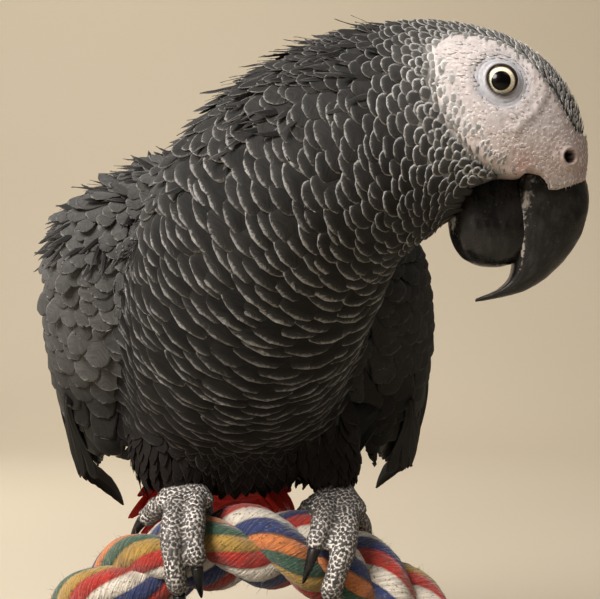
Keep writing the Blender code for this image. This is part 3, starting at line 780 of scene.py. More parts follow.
FOLD = np.array([(72.0, 204.4), (74.4, 201.8), (75.2, 199.2), (74.3, 196.2), (72.2, 193.2),
                 (69.6, 190.6), (67.2, 188.6)])


def line_distance(x, z, line):
    """Distance of each point from a line of straight pieces."""
    p = np.stack([np.ravel(x), np.ravel(z)], -1)
    best = np.full(len(p), 1e9)
    for a, b in zip(line[:-1], line[1:]):
        e, w = b - a, p - a
        t = np.clip((w @ e) / (e @ e), 0, 1)
        best = np.minimum(best, np.linalg.norm(w - t[:, None] * e, axis=1))
    return best.reshape(np.shape(x))


def signed_distance(x, z, outline):
    """Distance inside a closed outline, negative outside it."""
    closed = np.concatenate([outline, outline[:1]])
    crossings = np.zeros(np.shape(x), int)
    for (ax, az), (bx, bz) in zip(closed[:-1], closed[1:]):
        span = (az > z) != (bz > z)
        crossings += span & (x < ax + (z - az) * (bx - ax) / ((bz - az) or 1e-9))
    gap = line_distance(x, z, closed)
    return np.where(crossings % 2 == 1, gap, -gap)


def egg_scale(way):
    """How far the lower bill's squarish egg reaches in each direction."""
    return (np.abs(way) ** LOWER_POWER).sum(-1) ** (-1 / LOWER_POWER)


def lower_outline(grow):
    """The lower bill seen from the side."""
    a = circle(72)
    way = np.stack([np.cos(a), np.sin(a)], 1)
    size = np.array([LOWER_RADII[0], LOWER_RADII[2]]) + grow
    return np.array(LOWER_CENTRE) + way * egg_scale(way)[:, None] * size


LOWER_EDGE = lower_outline(0.2)
LOWER_EDGE[:, 1] = np.minimum(LOWER_EDGE[:, 1],
                              np.interp(LOWER_EDGE[:, 0], CHIN_LINE[:, 0], CHIN_LINE[:, 1]))


def face_masks(points):
    """How far inside the bare face, the cere and the two bill outlines each point lies."""
    x, z = points[:, 0], points[:, 2]
    return [signed_distance(x, z, edge) for edge in (FACE_EDGE, UPPER_EDGE, LOWER_EDGE)]


# ------------------------------------------------------------ skin


def coat_depth(s):
    """How deep the skin lies under the body's surface along the spine."""
    return np.interp(s, [0, 5.0, 6.5, 7.5, 8.5, LAST], [3.0, 3.0, 2.4, 1.6, 0.9, 0.9])


def foot_sources(side):
    """Closed bodies of one foot: knuckle, ankle and four toes with swollen joints."""
    knuckle, ankle = np.array(KNUCKLE[side]), np.array(ANKLE[side])
    path = np.array([ankle, (ankle * 2 + knuckle) / 3, (ankle + knuckle * 2) / 3, knuckle,
                     knuckle + (knuckle - ankle) * 0.25])
    radii = np.array([(4.6, 4.6), (5.6, 5.0), (7.2, 4.6), (8.6, 4.0), (5.5, 2.2)])
    fine = np.linspace(0, 4, 17)
    made = [tube_rings(natural_spline(range(5), path, fine),
                       natural_spline(range(5), radii, fine), 24)]
    for toe in ("1", "2", "3", "4"):
        points, radius, _ = toe_path(side, toe, 40)
        u = np.linspace(0, 1, 40)
        swell = 1 + 0.07 * np.cos(u * TAU * 2.2) - 0.05 * smooth(0.8, 1.0, u)
        radius = radius * swell * rounded_ends(40, 0.16)
        made.append(tube_rings(points, np.stack([radius, radius], 1), 20))
    return made


def skin_sources():
    """Closed bodies under the coat and the bare feet, which the skin is drawn round."""
    stations = np.concatenate([np.linspace(0, 7.5, 60), np.linspace(7.55, LAST, 90)])
    bodies = [body_rings(stations, 120, -coat_depth(stations))]
    for side, _ in SIDES:
        bodies.append(wing_rings(side, np.linspace(-0.07, ARM_END, 30), 48, -3.6))
        bodies.append(thigh_rings(side, 24, 32, -1.4))
        bodies += foot_sources(side)
    return bodies


def voxel_skin(bodies, voxel):
    """One closed mesh round all the bodies, and a search tree over the bodies themselves."""
    points, groups = loft_many(bodies)
    mesh = bpy.data.meshes.new("rough")
    mesh.from_pydata((points * MM).tolist(), [], [f for g in groups for f in g.tolist()])
    rough = add_object("rough", mesh)
    remesh = rough.modifiers.new("voxel", "REMESH")
    remesh.mode, remesh.voxel_size, remesh.adaptivity = "VOXEL", voxel * MM, 0.0
    graph = bpy.context.evaluated_depsgraph_get()
    graph.update()
    made = bpy.data.meshes.new_from_object(rough.evaluated_get(graph))
    bpy.data.objects.remove(rough)
    return made, surface_tree(points, groups)


def refine(bm, wanted):
    """Halves the edges of the faces whose middles are wanted."""
    edges = {e for f in bm.faces if wanted(f.calc_center_median() / MM) for e in f.edges}
    bmesh.ops.subdivide_edges(bm, edges=list(edges), cuts=1, use_grid_fill=True)


def relax(points, edges, times, share, chosen=None):
    """Moves each point towards the mean of its neighbours."""
    count = np.bincount(edges.ravel(), minlength=len(points))[:, None]
    for _ in range(times):
        total = np.zeros_like(points)
        for axis in range(3):
            total[:, axis] = np.bincount(edges[:, 0], points[edges[:, 1], axis], len(points)) \
                + np.bincount(edges[:, 1], points[edges[:, 0], axis], len(points))
        moved = points + share * (total / np.maximum(count, 1) - points)
        points = moved if chosen is None else np.where(chosen[:, None], moved, points)
    return points


FACE_X, FACE_Z = 44, 165  # the bare face lies above both


def is_face(p):
    return p.x > FACE_X and p.z > FACE_Z


def is_foot(p):
    return p.z < 97.5 and -26 < p.y < 13


def from_eye(x, z):
    """Distance from the middle of the eye, seen from the side."""
    return np.hypot(x - EYE_X, z - EYE_Z)


def from_nostril(x, z):
    return np.hypot(x - NOSTRIL_X, z - NOSTRIL_Z)


def ridge(distance, width):
    """1 on a line, falling away to 0 over about the given width."""
    return np.exp(-((distance / width) ** 2))


SCALE_GAP = 1.12  # mm between the middles of neighbouring scales on the feet


def foot_cells(points):
    """Scales of the feet: 0 in the furrows, 1 inside a scale, and a random value per scale."""
    taken = np.empty((0, 3))
    for i in random.permutation(len(points)):
        if len(taken) and (np.square(taken - points[i]).sum(1) < SCALE_GAP**2).any():
            continue
        taken = np.vstack([taken, points[i]])
    tree = point_tree(taken)
    near = [tree.find_n(p, 2) for p in points]
    first, second = (np.array([n[k][2] for n in near]) for k in range(2))
    tone = random.random(len(taken))[[n[0][1] for n in near]]
    return smooth(0.04, 0.42, second - first), tone


def face_relief(p, normal):
    """How far the face's skin rises from the plain head at each point, in mm."""
    x, z = p[:, 0], p[:, 2]
    side = smooth(0.15, 0.5, np.abs(normal[:, 1]))
    turn = np.arctan2(z - EYE_Z, x - EYE_X)
    oval = from_eye(x, z) * (1 + 0.06 * np.cos(turn - math.radians(250)))
    h = -5.0 * (1 - smooth(3.0, 3.5, oval))
    h += 0.50 * ridge(oval - 3.95, 0.42)
    waves = np.sin(TAU * (oval - 3.95) / (0.92 + 0.05 * np.sin(turn * 3)) + 0.5 * np.sin(turn * 2))
    h += 0.13 * waves * smooth(4.1, 4.6, oval) * (1 - smooth(6.4, 8.4, oval))
    h += -0.45 * ridge(oval - 6.0, 1.3)
    h += 0.36 * ridge(line_distance(x, z, FOLD), 1.15)
    h += -0.10 * ridge(line_distance(x - 1.9, z, FOLD), 1.1)
    under = np.exp(-(((x - 67.5) / 4.0) ** 2) - (((z - 190.5) / 3.0) ** 2))
    crease = np.sin((x * 0.55 + z) * 5.4 + 1.5 * hash_noise(p, 11, 2.5))
    h += 0.16 * under * crease
    around = np.abs(hash_noise(p * (1.0, 0.4, 1.0), 3, 1.5))
    h += 0.22 * (0.35 - around) * smooth(5.0, 9.0, oval)
    n = from_nostril(x, z)
    h += 0.75 * ridge(n, 3.4) + 0.35 * ridge(n - 2.0, 0.5)
    h += -3.0 * (1 - smooth(1.15, 1.65, n))
    flakes = 0.5 + 0.5 * hash_noise(p, 21, 0.9)
    h += 0.55 * flakes * ridge(line_distance(x, z, CERE_LINE), 0.9)
    return h * side


def skin_colour(p, face, upper, lower, foot, cell, tone):
    """The skin's colour, point by point, in linear light."""
    x, z = p[:, 0], p[:, 2]
    n1, n2 = hash_noise(p, 31, 1.1)[:, None], hash_noise(p, 33, 4.5)[:, None]
    r = from_eye(x, z)[:, None]
    white = np.array([0.46, 0.415, 0.412]) * (1 + 0.05 * n1 + 0.05 * n2)
    blue = np.array([0.335, 0.350, 0.395])
    pink = np.array([0.41, 0.315, 0.29])
    brown = np.array([0.17, 0.12, 0.108])
    cere = smooth(74.0, 86.5, x + 0.25 * (z - 184))[:, None]
    worn_lip = ridge(line_distance(x, z, CERE_LINE), 0.7)[:, None]
    gape = np.exp(-(((x - 69.5) / 2.6) ** 2) - (((z - 181.0) / 2.6) ** 2))[:, None]
    colour = white
    for share, over in (
        ((0.85 * ridge(r - 5.4, 1.75) * (1 + 0.25 * n2)).clip(0, 1), blue),
        (0.6 * smooth(192.0, 181.0, z)[:, None], pink * (1 + 0.12 * n1)),
        (0.8 * gape, (0.36, 0.20, 0.17)),
        (cere * 0.85, mix(pink * 0.95, brown * 1.7, smooth(0.4, 0.95, cere))),
        (0.5 * worn_lip * smooth(-0.1, 0.5, n1), (0.62, 0.55, 0.50)),
        (smooth(-0.4, 2.0, -face)[:, None], (0.110, 0.105, 0.102)),
        # painted shade: the nostril hole is painted near-black
        ((1 - smooth(1.3, 1.75, from_nostril(x, z)))[:, None], (0.006, 0.004, 0.004)),
        (1 - smooth(3.75, 4.35, r), (0.020, 0.014, 0.012)),
        (smooth(0.0, 0.6, np.maximum(upper, lower))[:, None], (0.012, 0.009, 0.009)),
    ):
        colour = mix(colour, np.asarray(over), share)
    # painted shade: skin under the feathers, away from the bare face, is painted near-black so the
    # gaps between feathers look dark
    hidden = np.array([0.012, 0.0115, 0.0115])
    head = smooth(42.0, 45.0, x)[:, None] * smooth(160.0, 165.0, z)[:, None]
    colour = mix(hidden, colour, head)
    worn = smooth(-0.6, 0.5, hash_noise(p, 41, 6.0))
    net = np.array([0.80, 0.755, 0.71]) * (0.60 + 0.40 * worn)[:, None]
    core = np.array([0.050, 0.045, 0.043]) * (0.6 + 0.9 * tone)[:, None]
    scaled = mix(net, core, smooth(0.12, 0.42, cell)[:, None])
    return mix(colour, scaled, foot[:, None])


def skin_material():
    """Bare skin with fine grain and a little light passing through it."""
    p = Paint("skin", 0.55, Specular_IOR_Level=0.35, Subsurface_Weight=0.12,
              Subsurface_Scale=0.0015)
    p.shader.inputs["Subsurface Radius"].default_value = (1.0, 0.5, 0.35)
    grain = p.noise(900.0, 3.0, 0.6)
    broad = p.noise(260.0, 2.0, 0.5)
    colour = p.mix(p.step(grain, 0.35, 0.65, 0.0, 0.22), p.colour("paint"), (0.4, 0.4, 0.4),
                   "MULTIPLY")
    normal = p.bump(grain, 0.00012, 0.5, p.bump(broad, 0.0003, 0.35))
    return p.finish(colour, p.step(broad, 0.3, 0.7, 0.45, 0.66), normal)


SKIN_VOXEL, FORM_VOXEL = 1.5, 1.9


def build_skin():
    """The one skin over the flesh nodes, with the relief of the face and the scaled feet."""
    mesh, tree = voxel_skin(skin_sources(), SKIN_VOXEL)
    bm = bmesh.new()
    bm.from_mesh(mesh)
    for wanted in (is_face, is_foot) * 2:
        refine(bm, wanted)
    bm.normal_update()
    bm.to_mesh(mesh)
    bm.free()
    p = mesh_points(mesh)
    where, normal = nearest(tree, p)
    near = np.linalg.norm(where - p, axis=1) < 0.8
    p = relax(np.where(near[:, None], where, p), mesh_edges(mesh), 2, 0.5)
    face, upper, lower = face_masks(p)
    head = smooth(43.0, 46.0, p[:, 0]) * smooth(160.0, 166.0, p[:, 2])
    bare = smooth(-1.5, 0.5, face) * head
    p = p + normal * (0.9 * bare)[:, None]
    p = p + normal * (face_relief(p, normal) * bare)[:, None]
    for inside in (upper, lower):
        t = (smooth(-0.35, 0.75, inside) * head)[:, None]
        middle = np.stack([p[:, 0], HEAD_Y + (p[:, 1] - HEAD_Y) * 0.25, p[:, 2]], 1)
        p = p + (middle - p) * t
    foot = smooth(98.0, 96.0, p[:, 2]) * smooth(15.0, 12.0, p[:, 1])
    chosen = foot > 0.01
    cell, tone = np.zeros(len(p)), np.zeros(len(p))
    cell[chosen], tone[chosen] = foot_cells(p[chosen])
    p = p + normal * (foot * (cell - 0.6) * 0.42)[:, None]
    mesh.vertices.foreach_set("co", (p * MM).astype(np.float32).ravel())
    add_attribute(mesh, "paint", skin_colour(p, face, upper, lower, foot, cell, tone))
    mesh.materials.clear()
    mesh.materials.append(skin_material())
    mesh.update()
    mesh.shade_smooth()
    skin = add_object("skin", mesh)
    print("piece skin", sum(len(f.vertices) - 2 for f in mesh.polygons), "triangles")
    settle(skin, "face_skin", "trunk", "neck", "head", "cere", "thigh_right", "thigh_left",
           "foot_right", "foot_left", "wing_right_coverts", "wing_left_coverts")
    return skin


# ------------------------------------------------------------ camera, light and floor

def look_at(thing, place, target):
    """Puts a camera or a light at a place, turned towards its target."""
    thing.location = Vector(place) * MM
    way = (Vector(target) - Vector(place)).normalized()
    thing.rotation_euler = way.to_track_quat("-Z", "Y").to_euler()


def build_stage():
    """The camera with the photo's framing, the lights, the paper sweep and the world."""
    scene = bpy.context.scene
    camera = add_object("camera", bpy.data.cameras.new("camera"))
    camera.data.lens, camera.data.sensor_width = 78.7, 36.0
    camera.data.clip_start, camera.data.clip_end = 0.01, 20.0
    aim_x, aim_z, away = 17.0, 149.0, 390.0
    look_at(camera, (aim_x, -away, aim_z), (aim_x, 0.0, aim_z))
    scene.camera = camera

    for name, size, power, colour, place, target in (  # sizes in mm, power in watts
        ("key", 380.0, 13.0, (1.0, 0.94, 0.87), (-430.0, -470.0, 600.0), (0.0, -20.0, 150.0)),
        ("fill", 900.0, 1.2, (1.0, 0.93, 0.85), (-900.0, -700.0, 60.0), (10.0, 0.0, 130.0)),
        ("rim", 500.0, 3.0, (1.0, 0.95, 0.88), (-500.0, 500.0, 500.0), (0.0, 30.0, 130.0)),
        ("top", 420.0, 1.15, (1.0, 0.95, 0.89), (330.0, -140.0, 620.0), (75.0, -65.0, 190.0)),
        ("backdrop", 1200.0, 10.0, (1.0, 0.95, 0.87), (-500.0, 500.0, 1500.0),
         (0.0, 1500.0, 500.0)),
    ):
        light = add_object(name, bpy.data.lights.new(name, "AREA"))
        light.data.shape, light.data.size = "DISK", size * MM
        light.data.energy, light.data.color = power, colour
        look_at(light, place, target)

    p = Paint("studio_paper", 0.9)
    cloud = p.noise(1.2, 2.0, 0.5)
    # painted shade: the paper is a third darker on the floor up to 0.2 m behind the bird, rising to
    # its full colour on the sweep beyond 1.1 m
    deep = p.node("SeparateXYZ", {0: p.place()}).outputs[1]
    paper = p.mix(p.step(cloud, 0.3, 0.7), (0.70, 0.62, 0.49), (0.74, 0.66, 0.53))
    p.finish(p.mix(p.step(deep, 0.2, 1.1), p.mix(1.0, paper, (0.66, 0.66, 0.66), "MULTIPLY"),
                   paper),
             None, p.bump(p.noise(500.0, 2.0, 0.5), 0.0002, 0.1))
    reach, bend = 4000.0, 600.0  # how far the sweep runs, and the radius of its curve
    profile = [(-reach, 0.0)] + [
        (900 + bend * math.sin(a), bend - bend * math.cos(a))
        for a in np.linspace(0, math.pi / 2, 13)] + [(900 + bend, reach)]
    x = np.linspace(-reach, reach, 9)
    points = np.array([(a, y, z) for y, z in profile for a in x])
    quads = loft_faces(len(profile), len(x), closed=False)
    make_mesh("studio_floor", points, [quads], p.material)

    world = bpy.data.worlds.new("studio")
    scene.world = world
    world.use_nodes = True
    background = world.node_tree.nodes["Background"]
    background.inputs["Color"].default_value = (1.0, 0.93, 0.82, 1.0)
    background.inputs["Strength"].default_value = 0.16
    scene.view_settings.view_transform = "Standard"
    scene.view_settings.look = "None"


# ------------------------------------------------------------ plumage

# station along the spine, then exposed length, spacing across, overall length and width
BODY_SIZES = np.array([
    (0.0, 3.2, 8.0, 15.0, 11.0), (1.5, 2.7, 9.0, 15.0, 14.0), (3.0, 2.15, 10.5, 15.0, 18.0),
    (4.0, 2.2, 11.0, 16.0, 20.0), (5.0, 2.4, 10.5, 17.0, 19.0), (6.0, 2.2, 8.4, 15.0, 14.5),
    (6.8, 1.8, 6.2, 11.5, 10.5), (7.4, 1.5, 4.8, 8.5, 7.9), (8.0, 1.35, 3.8, 6.6, 6.2),
    (8.7, 1.30, 2.8, 4.8, 4.4), (9.3, 1.10, 1.9, 3.4, 2.7), (11.0, 0.95, 1.5, 2.7, 2.0)])
WING_SIZES = np.array([
    (-0.08, 2.2, 3.8, 8.0, 5.6), (0.0, 2.7, 4.8, 10.0, 7.2), (0.08, 4.0, 6.4, 14.5, 9.4),
    (0.18, 5.6, 7.8, 20.0, 11.4), (0.30, 8.0, 8.6, 27.0, 12.0), (0.42, 11.0, 9.5, 36.0, 13.0),
    (0.62, 13.0, 10.0, 40.0, 14.0)])
RED, DEEP_RED, DARK_RED = (0.40, 0.014, 0.010), (0.52, 0.028, 0.016), (0.17, 0.006, 0.006)
SPOTS_TRIED, RUFFS_TRIED, TUFTS_TRIED = 150000, 60000, 60000
OVERLAP = 1.155  # room along a feather, as a multiple of its exposed length
MAP_EDGE, MAP_SPAN = 0.02, 0.93  # where the body lies on the OFBake map


def sizes_at(table, at):
    return np.stack([np.interp(at, table[:, 0], table[:, k]) for k in range(1, 5)], -1)


class Seeds:
    """The places feathers grow from: arrays with one row for each."""

    def __init__(self, **rows):
        self.__dict__.update(rows)

    def __len__(self):
        return len(self.p)

    def keep(self, chosen):
        """Keeps the chosen rows of every array, by mask or by index."""
        for name, rows in vars(self).items():
            setattr(self, name, rows[chosen])

    def thin(self, order, gap_along, gap_across):
        """Keeps seeds in order, dropping any that would crowd one kept already."""
        self.keep(advance(self.p, order, self.way, gap_along, gap_across))

    def room(self):
        """Exposed length, spacing across, overall length and width of the feather at each."""
        return mix(sizes_at(BODY_SIZES, self.s), sizes_at(WING_SIZES, self.share),
                   self.wing[:, None])

    def patch(self):
        """A place on the OFBake map for each feather, by its place on the body."""
        return MAP_EDGE + MAP_SPAN * np.stack([self.turn / TAU, self.s / LAST], 1)


def finder(points):
    """A function that finds the nearest of these points to each wanted place, and its gap."""
    tree = point_tree(points)

    def find(wanted):
        found = [tree.find(p) for p in wanted]
        return np.array([f[1] for f in found], int), np.array([f[2] for f in found])
    return find


# soft parts that the CAD leaves out, as paths and the two radii at each of their points
SHOULDERS = (
    ([(-6, 0, 174), (-16, 0, 178), (-25, 0, 175), (-34, 1, 171), (-44, 2, 160)],
     [(9, 9), (16, 16), (16, 16), (13.5, 13.5), (9, 9)]),
    ([(14, 8, 160), (22, 8, 164), (30, 7, 167), (38, 5, 168), (45, 3, 166)],
     [(8, 8), (13, 13), (14, 14), (14, 14), (8, 8)]),
)
SKIRTS = (  # right flank, right thigh, left thigh, and the belly between the thighs
    ([(-30, 24, 128), (-36, 26, 120), (-39, 28, 111), (-41, 30, 103), (-41.5, 30, 98.5)],
     [(8, 14), (11, 17), (11, 16), (9, 13), (4, 6)]),
    ([(-18, 12, 122), (-19, 10, 114), (-19.5, 7, 106), (-20, 5, 99), (-20, 4, 95),
      (-20, 3, 91.5)], [(12, 14), (15.5, 16), (16, 15), (15, 13), (12.5, 11), (6, 5)]),
    ([(23, 12, 122), (25, 10, 114), (26, 7, 106), (26.5, 5, 99), (26.5, 4, 94),
      (26.5, 3, 90.5)], [(9, 12), (10.5, 13), (10, 12), (9, 10), (7.5, 8), (3.5, 3.5)]),
    ([(0, 26, 118), (-2, 20, 113), (-3, 13, 108), (-3.5, 8, 102), (-4, 5, 97), (-4, 3, 94)],
     [(22, 16), (26, 18), (27.5, 17), (26.5, 14.5), (20, 10), (9, 4)]),
)


class Form:
    """The surface the plumage follows: body, wings and thighs blended where they meet."""

    def __init__(self):
        stations = np.concatenate([np.linspace(0, 7.5, 90), np.linspace(7.55, LAST, 70)])
        shares = np.concatenate([np.linspace(-0.083, 0, 12), np.linspace(0.02, 0.56, 38)])
        body_sides, wing_sides = 110, 72
        body = body_rings(stations, body_sides, -1.1 * (1 - smooth(7.5, 9.0, stations)))
        wings = {side: wing_rings(side, shares, wing_sides, -0.9) for side, _ in SIDES}
        thighs = {side: thigh_rings(side, 24, 40) for side, _ in SIDES}
        shoulders = [tube_rings(path, radii, 28, -FRONT) for path, radii in SHOULDERS]
        skirts = [tube_rings(path, radii, 36) for path, radii in SKIRTS]
        mesh, exact = voxel_skin([body, *wings.values(), *thighs.values(), *shoulders,
                                  *skirts], FORM_VOXEL)
        edges = mesh_edges(mesh)
        p, _ = nearest(exact, mesh_points(mesh))
        turns = np.arange(body_sides) * TAU / body_sides
        self.body_at = np.stack(np.meshgrid(stations, turns, indexing="ij"), -1).reshape(-1, 2)
        self.find_body = finder(body.reshape(-1, 3))
        self.wing_at = np.repeat(shares, wing_sides)
        self.find_wing = {side: finder(w.reshape(-1, 3)) for side, w in wings.items()}
        self.find_thigh = {side: finder(t.reshape(-1, 3)) for side, t in thighs.items()}
        near = self.find_body(p)[1] < 14.0
        beside = np.zeros(len(p), bool)
        for side, _ in SIDES:
            beside |= self.find_wing[side](p)[1] < 13.0
            beside |= self.find_thigh[side](p)[1] < 7.0
        p = relax(p, edges, 12, 0.5, near & beside)
        p = relax(p, edges, 2, 0.5)
        faces = np.array([list(f.vertices) for f in mesh.polygons])
        self.corners = [p[faces[:, k]] for k in range(4)]
        self.tree = surface_tree(p, [faces])
        bpy.data.meshes.remove(mesh)

    def describe(self, p):
        """Seeds at the points p: station and angle on the body, share along the wing, how far
        each belongs to wing and thigh, and the sign of its side."""
        index, gap = self.find_body(p)
        s, turn = self.body_at[index].T
        wing, share, sense = np.zeros(len(p)), np.zeros(len(p)), np.where(p[:, 0] < 0, -1, 1)
        thigh = np.zeros(len(p))
        for side, sign in SIDES:
            mine = sense == sign
            k, d = self.find_wing[side](p[mine])
            share[mine] = self.wing_at[k]
            wing[mine] = smooth(-3.0, 3.0, gap[mine] - d)
            k, d = self.find_thigh[side](p[mine])
            thigh[mine] = smooth(-2.0, 2.0, gap[mine] - d) * (1 - wing[mine])
        return Seeds(p=p, s=s, turn=turn, share=share, wing=wing, thigh=thigh, sense=sense)

    def spots(self, pick):
        """A random point on each of the picked faces."""
        a, b, c, d = (corner[pick] for corner in self.corners)
        u, v = random.random((2, len(pick), 1))
        return mix(mix(a, b, u), mix(d, c, u), v)

    def scatter(self, count):
        """Seeds all over the form, as many to each feather's room everywhere."""
        a, b, c, d = self.corners
        area = (np.linalg.norm(np.cross(b - a, c - a), axis=1)
                + np.linalg.norm(np.cross(c - a, d - a), axis=1)) / 2
        room = self.describe((a + b + c + d) / 4).room()
        weight = area / (room[:, 0] * room[:, 1])
        pick = random.choice(len(area), count, p=weight / weight.sum())
        return self.describe(self.spots(pick))

    def lay(self, at, droop=0.0):
        """Adds the surface's normal at each seed and the way its feather lies."""
        _, at.normal = nearest(self.tree, at.p)
        at.way = into_surface(flow_at(at) - droop * UP, at.normal)


def flow_at(at):
    """The way feathers lie at each seed, not yet laid into the surface."""
    s, round_to = at.s, np.sin(at.turn)
    _, along, _, side, _ = spine_frame(s)
    belly = smooth(0.2, 0.8, -np.cos(at.turn)) * (1 - smooth(4.2, 5.2, s))
    fall = 0.06 + 0.30 * (1 - smooth(3.6, 5.0, s)) - 0.06 * smooth(7.6, 8.8, s)
    aside = 0.42 * smooth(3.8, 4.8, s) * (1 - smooth(6.3, 7.4, s)) * round_to
    way = (-along - fall[:, None] * UP
           + (aside + belly * 0.30 * np.tanh(round_to * 5))[:, None] * side)
    for name, sign in SIDES:
        _, back, _, out, _ = wing_frame(name)
        early = (1 - smooth(0.0, 0.12, at.share))[:, None]
        laid = back - 0.15 * UP + early * (0.45 * out - 0.15 * UP)
        way = np.where((at.sense == sign)[:, None], mix(way, laid, at.wing[:, None]), way)
    return mix(way, -UP + 0.15 * FRONT, at.thigh[:, None])


def region_paint(at):
    """Base and rim colours and how strongly the rim shows, feather by feather."""
    n, s, share, wing, thigh = len(at), at.s, at.share, at.wing, at.thigh
    upward = np.cos(at.turn)
    # grey and rim are lowest over the rump and belly: partly the feathers' own darker colour, partly
    # painted shade on the underside
    grey = np.interp(s, [0, 2.5, 4.0, 5, 6, 7, 8, 9, LAST],
                     [0.016, 0.009, 0.010, 0.012, 0.016, 0.020, 0.022, 0.036, 0.070])
    rim = np.interp(s, [0, 2.0, 3.2, 4.2, 5.5, 7, 8.3, 9.2, LAST],
                    [0.05, 0.034, 0.060, 0.19, 0.235, 0.25, 0.29, 0.34, 0.30])
    top = smooth(0.0, 0.6, upward)
    crown = np.maximum(top * smooth(7.6, 8.8, s), smooth(-0.2, 0.3, upward) * smooth(8.5, 9.2, s))
    nape = top * smooth(3.5, 5.0, s) * (1 - smooth(7.0, 8.2, s))
    back = top * (1 - smooth(2.5, 4.5, s))
    along_wing = [-0.08, 0.1, 0.3, 0.5]
    # painted shade: the bird's left wing coverts are painted to about a third of the right's
    # brightness, as if that wing lay in shadow
    left_wing_shade = np.where(at.sense > 0, 0.36, 1.0)
    wing_grey = np.interp(share, along_wing, [0.078, 0.078, 0.067, 0.042]) * left_wing_shade
    wing_rim = np.interp(share, along_wing, [0.17, 0.17, 0.16, 0.11]) * left_wing_shade
    near_face = smooth(-18.0, -1.0, at.face) * smooth(6.6, 7.8, s) * (1 - crown)
    inside = smooth(-3.0, 4.0, at.face) * smooth(7.0, 8.0, s)
    for part, part_grey, rim_part, part_rim in (
        (crown, mix(0.24, 0.40, smooth(9.0, 10.2, s)), crown, 0.62),
        (nape, 0.026, nape, 0.22),
        (back, 0.045, back, 0.13),
        (wing, wing_grey, wing, wing_rim),
        (thigh, 0.010, thigh, 0.022),
        (near_face**1.5, 0.060, near_face, 0.42),
        (inside, 0.42, inside, 0.58),
    ):
        grey, rim = mix(grey, part_grey, part), mix(rim, part_rim, rim_part)
    low = smooth(0.2, 0.8, -upward) * (1 - smooth(2.4, 4.4, s)) * (1 - wing)
    low = np.maximum(low, thigh)
    tint = mix(np.array([1.0, 0.985, 0.97]), np.array([1.15, 0.93, 0.86]), low[:, None])
    uneven = mix(0.27, 0.14, wing)[:, None]
    paint = grey[:, None] * tint * (1 + uneven * random.uniform(-1, 1, (n, 1)))
    rim_paint = rim[:, None] * tint * random.uniform(0.8, 1.15, (n, 1))
    share_of_rim = np.interp(s, [0, 2.5, 4.0, 6], [0.55, 0.65, 0.95, 1.0])
    share_of_rim = mix(share_of_rim, 0.8, wing) * random.uniform(0.6, 1.0, n)
    vent = smooth(2.0, 1.6, s + random.normal(0, 0.08, n)) * smooth(-0.1, -0.4, upward)
    vent = (vent * (1 - wing) * (1 - thigh))[:, None]
    red = np.array(RED) * random.uniform(0.7, 1.2, (n, 1))
    return mix(paint, red, vent), mix(rim_paint, red * 1.3, vent), share_of_rim


def wing_edges(at):
    """How near each seed is to its wing's lower and upper edge, from 0 to 1."""
    low, high = np.zeros(len(at)), np.zeros(len(at))
    for side, sign in SIDES:
        wrist, _, upward, _, _ = wing_frame(side)
        rows = wing_rows(at.share)
        height = ((at.p - wrist) @ upward - rows[:, 3]) / np.maximum(rows[:, 1], 1.0)
        low = np.where(at.sense == sign, smooth(-0.15, -0.85, height), low)
        high = np.where(at.sense == sign, smooth(0.0, 0.9, height), high)
    return low, high


def plumage_seeds(form):
    """Where the contour feathers grow, with each one's room, region and the way it lies."""
    at = form.scatter(SPOTS_TRIED)
    x, z = at.p[:, 0], at.p[:, 2]
    face, upper, lower = face_masks(at.p)
    head = (x > 26) & (z > 152)
    rear = smooth(70.0, 60.0, x) * smooth(208.0, 202.0, z)
    bare = head & ((face > mix(0.4, 4.5, rear)) | (upper > -0.3) | (lower > -0.3))
    at.low_edge, at.high_edge = wing_edges(at)
    coverts_end = (0.41 + 0.15 * at.high_edge - 0.14 * at.low_edge
                   + random.normal(0, 0.018, len(at)))
    at.face = np.where(head, face, -50.0)
    at.keep(~bare & (at.s > 0.15) & ~((at.wing > 0.5) & (at.share > coverts_end)))
    s, wing = at.s, at.wing
    # from here low_edge masks the painted shade along the lower edge of the wing coverts, over the
    # gap to the belly
    at.low_edge = at.low_edge * wing * smooth(0.08, 0.20, at.share)
    at.fluff = np.maximum(at.thigh, smooth(112.0, 103.0, at.p[:, 2]) * (1 - wing) * (s > 1.8))
    nape = smooth(0.2, 0.7, np.cos(at.turn)) * smooth(3.5, 5.0, s) * (1 - smooth(7.0, 8.0, s))
    at.nape = nape * (1 - wing)
    at.size = mix(at.room(), np.array([1.8, 2.9, 9.0, 3.7]), at.fluff[:, None])
    for part, shrunk in ((smooth(-12.0, -1.0, at.face), (0.86, 0.50, 0.70, 0.50)),
                         (at.nape, (0.85, 0.52, 0.85, 0.50))):
        at.size *= mix(1.0, np.array(shrunk), part[:, None])
    form.lay(at)
    order = mix(s, 4.6 - 9.0 * at.share, wing) + random.normal(0, 0.003, len(at))
    at.thin(order, at.size[:, 0] * OVERLAP, at.size[:, 1])
    return at


